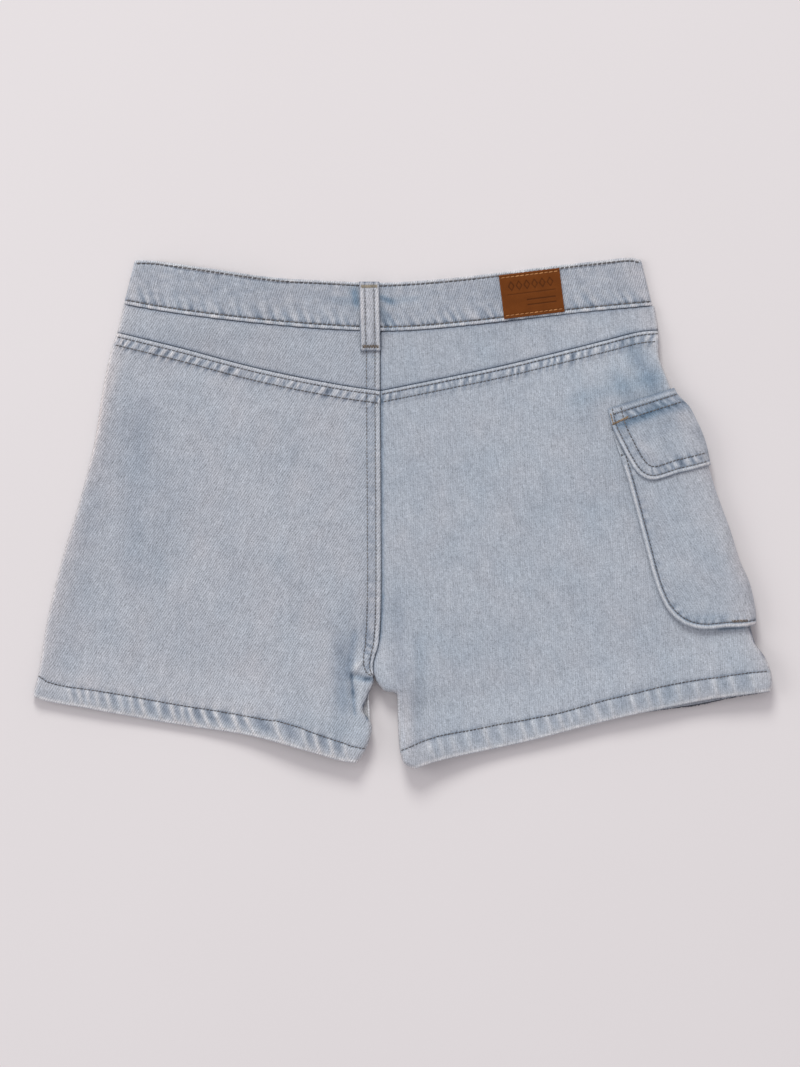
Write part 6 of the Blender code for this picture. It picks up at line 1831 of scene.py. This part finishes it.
def pocket_rows():
    """Rows on the pocket and on its flap, whose top edge is the straight last stretch of its outline."""
    flap = wrapped_outline(FLAP_EDGE, FLAP_FOOT)
    rows = wrap_rows(wrapped_outline(POCKET_EDGE, POCKET_FOOT), POCKET_ROW, "cloth_pocket")
    for depth in FLAP_ROWS:
        rows += wrap_rows(flap, depth, "cloth_pocket_flap")
    half = flap[0][0] - SIDE_CLEAR
    for depth in FLAP_ROWS:
        level = np.full(TOP_POINTS, flap[0][1] + depth + FLAP_TOP_DROP)
        line = np.column_stack([np.linspace(half, -half, TOP_POINTS), level])
        rows += half_rows(line, "cloth_pocket_flap", FLAP_TOP_HEIGHT)
    return rows


def make_stitches():
    dark, pale = seam_rows()
    band = [row_stitches(offset_line(rail_name, offset, 1.0, 1.0), BAND_STITCH, "cloth_waistband")
            for rail_name, offset in (("band_top", -BAND_ROW_TOP), ("band_low", BAND_ROW_LOW))]
    sew("stitches_band", THREAD_DARK, band, radius=0.56)
    for offset in LOOP_ROWS:
        line = np.array([(LOOP_TOP.x + offset, LOOP_TOP.y - 2.0), (LOOP_FOOT.x + offset, LOOP_FOOT.y + 2.0)])
        pale.append(row_stitches(line, STITCH, "cloth_belt_loop"))
    sew("stitches_seat", THREAD_SOFT, pale, radius=0.34)
    sew("stitches_back", THREAD_DARK, dark + pocket_rows())
    sew("stitches_front", THREAD_DARK,
        [row_stitches(offset_line(row.rail, row.offset, row.start, row.end), STITCH, row.piece, False)
         for row in FRONT_ROWS])
    sew("stitches_patch", THREAD_BROWN,
        [row_stitches(patch_place(np.array([1.0, 38.0]), np.array([v, v])), 3.0, "leather_patch")
         for v in (PATCH_ROW, PATCH_SIZE[1] - PATCH_ROW)])


TACK_LEAN = 0.18                 # the threads of a bar tack lean this much, in turn to either side
Tack = namedtuple("Tack", "name finish x y width height turn piece count radius")
LOOP_TACKS = [
    Tack("tack_loop_top", THREAD_OLIVE, LOOP_TOP.x, LOOP_TOP.y - LOOP_TACK, 10.4, 2.4, 1.0,
         "cloth_belt_loop", 22, 0.3),
    Tack("tack_loop_foot", THREAD_RUST, LOOP_FOOT.x, LOOP_FOOT.y + LOOP_TACK, 10.4, 2.4, 0.0,
         "cloth_belt_loop", 12, 0.34)]
POCKET_TACKS = [
    Tack("tack_foot", THREAD_RUST, 215.2, 94.6, 10.0, 1.9, 3.0, "cloth_pocket", 11, 0.32),
    Tack("tack_mouth", THREAD_DARK, POCKET_EDGE[0].x + 0.6, POCKET_EDGE[0].y, 3.0, 1.4, -70.0,
         "cloth_pocket_gusset", 6, 0.28)]


def bar_tack(tack):
    """Closely set threads that lie side by side across a place."""
    turn = math.radians(tack.turn)
    along = np.array([math.cos(turn), math.sin(turn)])
    across = np.array([-along[1], along[0]])
    rows = []
    for k in range(tack.count):
        middle = np.array([tack.x, tack.y]) + along * tack.width * ((k + 0.5) / tack.count - 0.5)
        half = across * tack.height / 2 + along * TACK_LEAN * (1 if k % 2 else -1)
        rows.append(row_stitches(np.array([middle - half, middle + half]), tack.height, tack.piece, gap=0.06))
    sew(tack.name, tack.finish, rows, radius=tack.radius)


def flap_tack():
    """The flap's tack follows its upper corner: threads down its end, and two long rows along its edge."""
    start = np.array([FLAP_EDGE[0].x + 1.9, FLAP_EDGE[0].y - 3.0])
    end = np.array([FLAP_EDGE[1].x + 1.0, FLAP_EDGE[1].y + 1.6])
    stretch = np.array([end + np.array([-0.9, 0.0]), end + np.array([9.6, 5.0])])
    rows = [row_stitches(np.array([start, end]), 1.6, "cloth_pocket_flap", gap=0.0)]
    rows += [row_stitches(stretch + np.array([0.0, lower]), 2.7, "cloth_pocket_flap", proud=0.3, gap=-0.2)
             for lower in (0.0, -0.5)]
    sew("tack_flap", THREAD_TAN, rows, radius=0.42)


def make_tacks():
    for tack in LOOP_TACKS:
        bar_tack(tack)
    flap_tack()
    for tack in POCKET_TACKS:
        bar_tack(tack)


Overlock = namedtuple("Overlock", "at start end count reach")
OVERLOCKS = [                    # ragged short threads that show past an edge, along the rail below it
    Overlock("skirt_hem", 156.0, 232.0, 320, 1.6), Overlock("skirt_hem", 170.0, 205.0, 150, 2.4)]
OVERLOCK_IN = 1.4                # the threads start this far inside the hem
OVERLOCK_LOW = (2.0, 2.8)        # and lie at these heights over the table


def make_overlock():
    """The dark overlocked edge of the skirt panel, where it shows under the right hem."""
    rows = []
    for edge in OVERLOCKS:
        line = R[edge.at]
        travel = np.sort(RNG.uniform(edge.start, edge.end, edge.count))
        share = (travel - edge.start) / (edge.end - edge.start)
        reach = edge.reach * np.sin(math.pi * share) ** 0.5 * RNG.uniform(0.5, 1.1, edge.count)
        lean = RNG.uniform(-1.2, 1.2, edge.count)
        inner = line.at(travel) + line.normal(travel) * OVERLOCK_IN
        outer = line.at(travel + lean) - line.normal(travel) * (0.5 * reach)[:, None]
        low = RNG.uniform(*OVERLOCK_LOW, edge.count) + front_stand(inner)
        points = [np.column_stack([place, low + drop])
                  for place, drop in ((inner, 0.4), ((inner + outer) / 2, 0.4), (outer, -0.6))]
        rows.append((np.stack(points, axis=1), 1.0))
    sew("overlock_skirt_hem", THREAD_INDIGO, rows, radius=0.26)


# ---------------------------------------------------------------- studio
PHOTO = namedtuple("Photo", "width height")(800, 1067)
PIXEL = 0.64                     # mm of cloth per pixel of the photo
PHOTO_CENTRE = (-1.92, 150.4)    # the middle of the photo, in plan
CAMERA_HEIGHT = 5.0
FLOOR_HALF = 4.0
WORLD_COLOUR = (1.0, 0.955, 1.005, 1.0)
WORLD_STRENGTH = 0.565
Light = namedtuple("Light", "name place size power colour")
LIGHTS = [
    Light("key", (-0.9, 5.5, 4.3), 2.8, 266.0, (1.0, 0.998, 0.972)),
    Light("fill", (-3.2, 0.6, 2.6), 2.6, 30.0, (1.0, 1.0, 1.0))]


def make_floor():
    half = FLOOR_HALF
    mesh = bpy.data.meshes.new("floor")
    mesh.from_pydata([(-half, -half, 0), (half, -half, 0), (half, half, 0), (-half, half, 0)], [],
                     [(0, 1, 2, 3)])
    n = Nodes("floor_paper", 0.9, Specular_IOR_Level=0.1)
    place = n.tree.nodes.new("ShaderNodeTexCoord").outputs["Object"]
    n.colour(n.ramp(n.sum((0.6, n.noise(place, (0.3, 0.3, 0.3), 2.0))),
                    (0.0, linear(224, 220, 220)), (1.0, linear(229, 226, 226))))
    mesh.materials.append(n.material)
    floor = bpy.data.objects.new("floor", mesh)
    bpy.context.collection.objects.link(floor)


def add_light(light):
    data = bpy.data.lights.new(light.name, "AREA")
    data.shape = "DISK"
    data.size = light.size
    data.energy = light.power
    data.color = light.colour
    lamp = bpy.data.objects.new(light.name, data)
    bpy.context.collection.objects.link(lamp)
    lamp.location = light.place
    lamp.rotation_euler = (Vector(light.place) * -1).to_track_quat("-Z", "Y").to_euler()


def make_studio():
    make_floor()
    world = bpy.data.worlds.new("studio")
    bpy.context.scene.world = world
    world.use_nodes = True
    background = world.node_tree.nodes["Background"]
    background.inputs["Color"].default_value = WORLD_COLOUR
    background.inputs["Strength"].default_value = WORLD_STRENGTH
    for light in LIGHTS:
        add_light(light)
    bpy.context.scene.view_settings.view_transform = "Standard"


def make_camera():
    data = bpy.data.cameras.new("camera")
    data.sensor_fit = "HORIZONTAL"
    data.sensor_width = 36.0
    data.lens = data.sensor_width * CAMERA_HEIGHT / (PHOTO.width * PIXEL * MM)
    data.clip_end = 20.0
    camera = bpy.data.objects.new("camera", data)
    bpy.context.collection.objects.link(camera)
    camera.location = ((PHOTO_CENTRE[0] - PLAN_CENTRE[0]) * MM, (PHOTO_CENTRE[1] - PLAN_CENTRE[1]) * MM,
                       CAMERA_HEIGHT)
    bpy.context.scene.camera = camera


# ---------------------------------------------------------------- a record for the cut of the cloth, and the build
Cut = namedtuple("Cut", "piece width length area rests_on")


def main():
    make_back()
    make_front()
    make_waistband()
    make_belt_loop()
    make_patch()
    make_button()
    make_pocket()
    make_gusset()
    make_flap()
    make_stitches()
    make_tacks()
    make_overlock()
    make_studio()
    make_camera()


main()
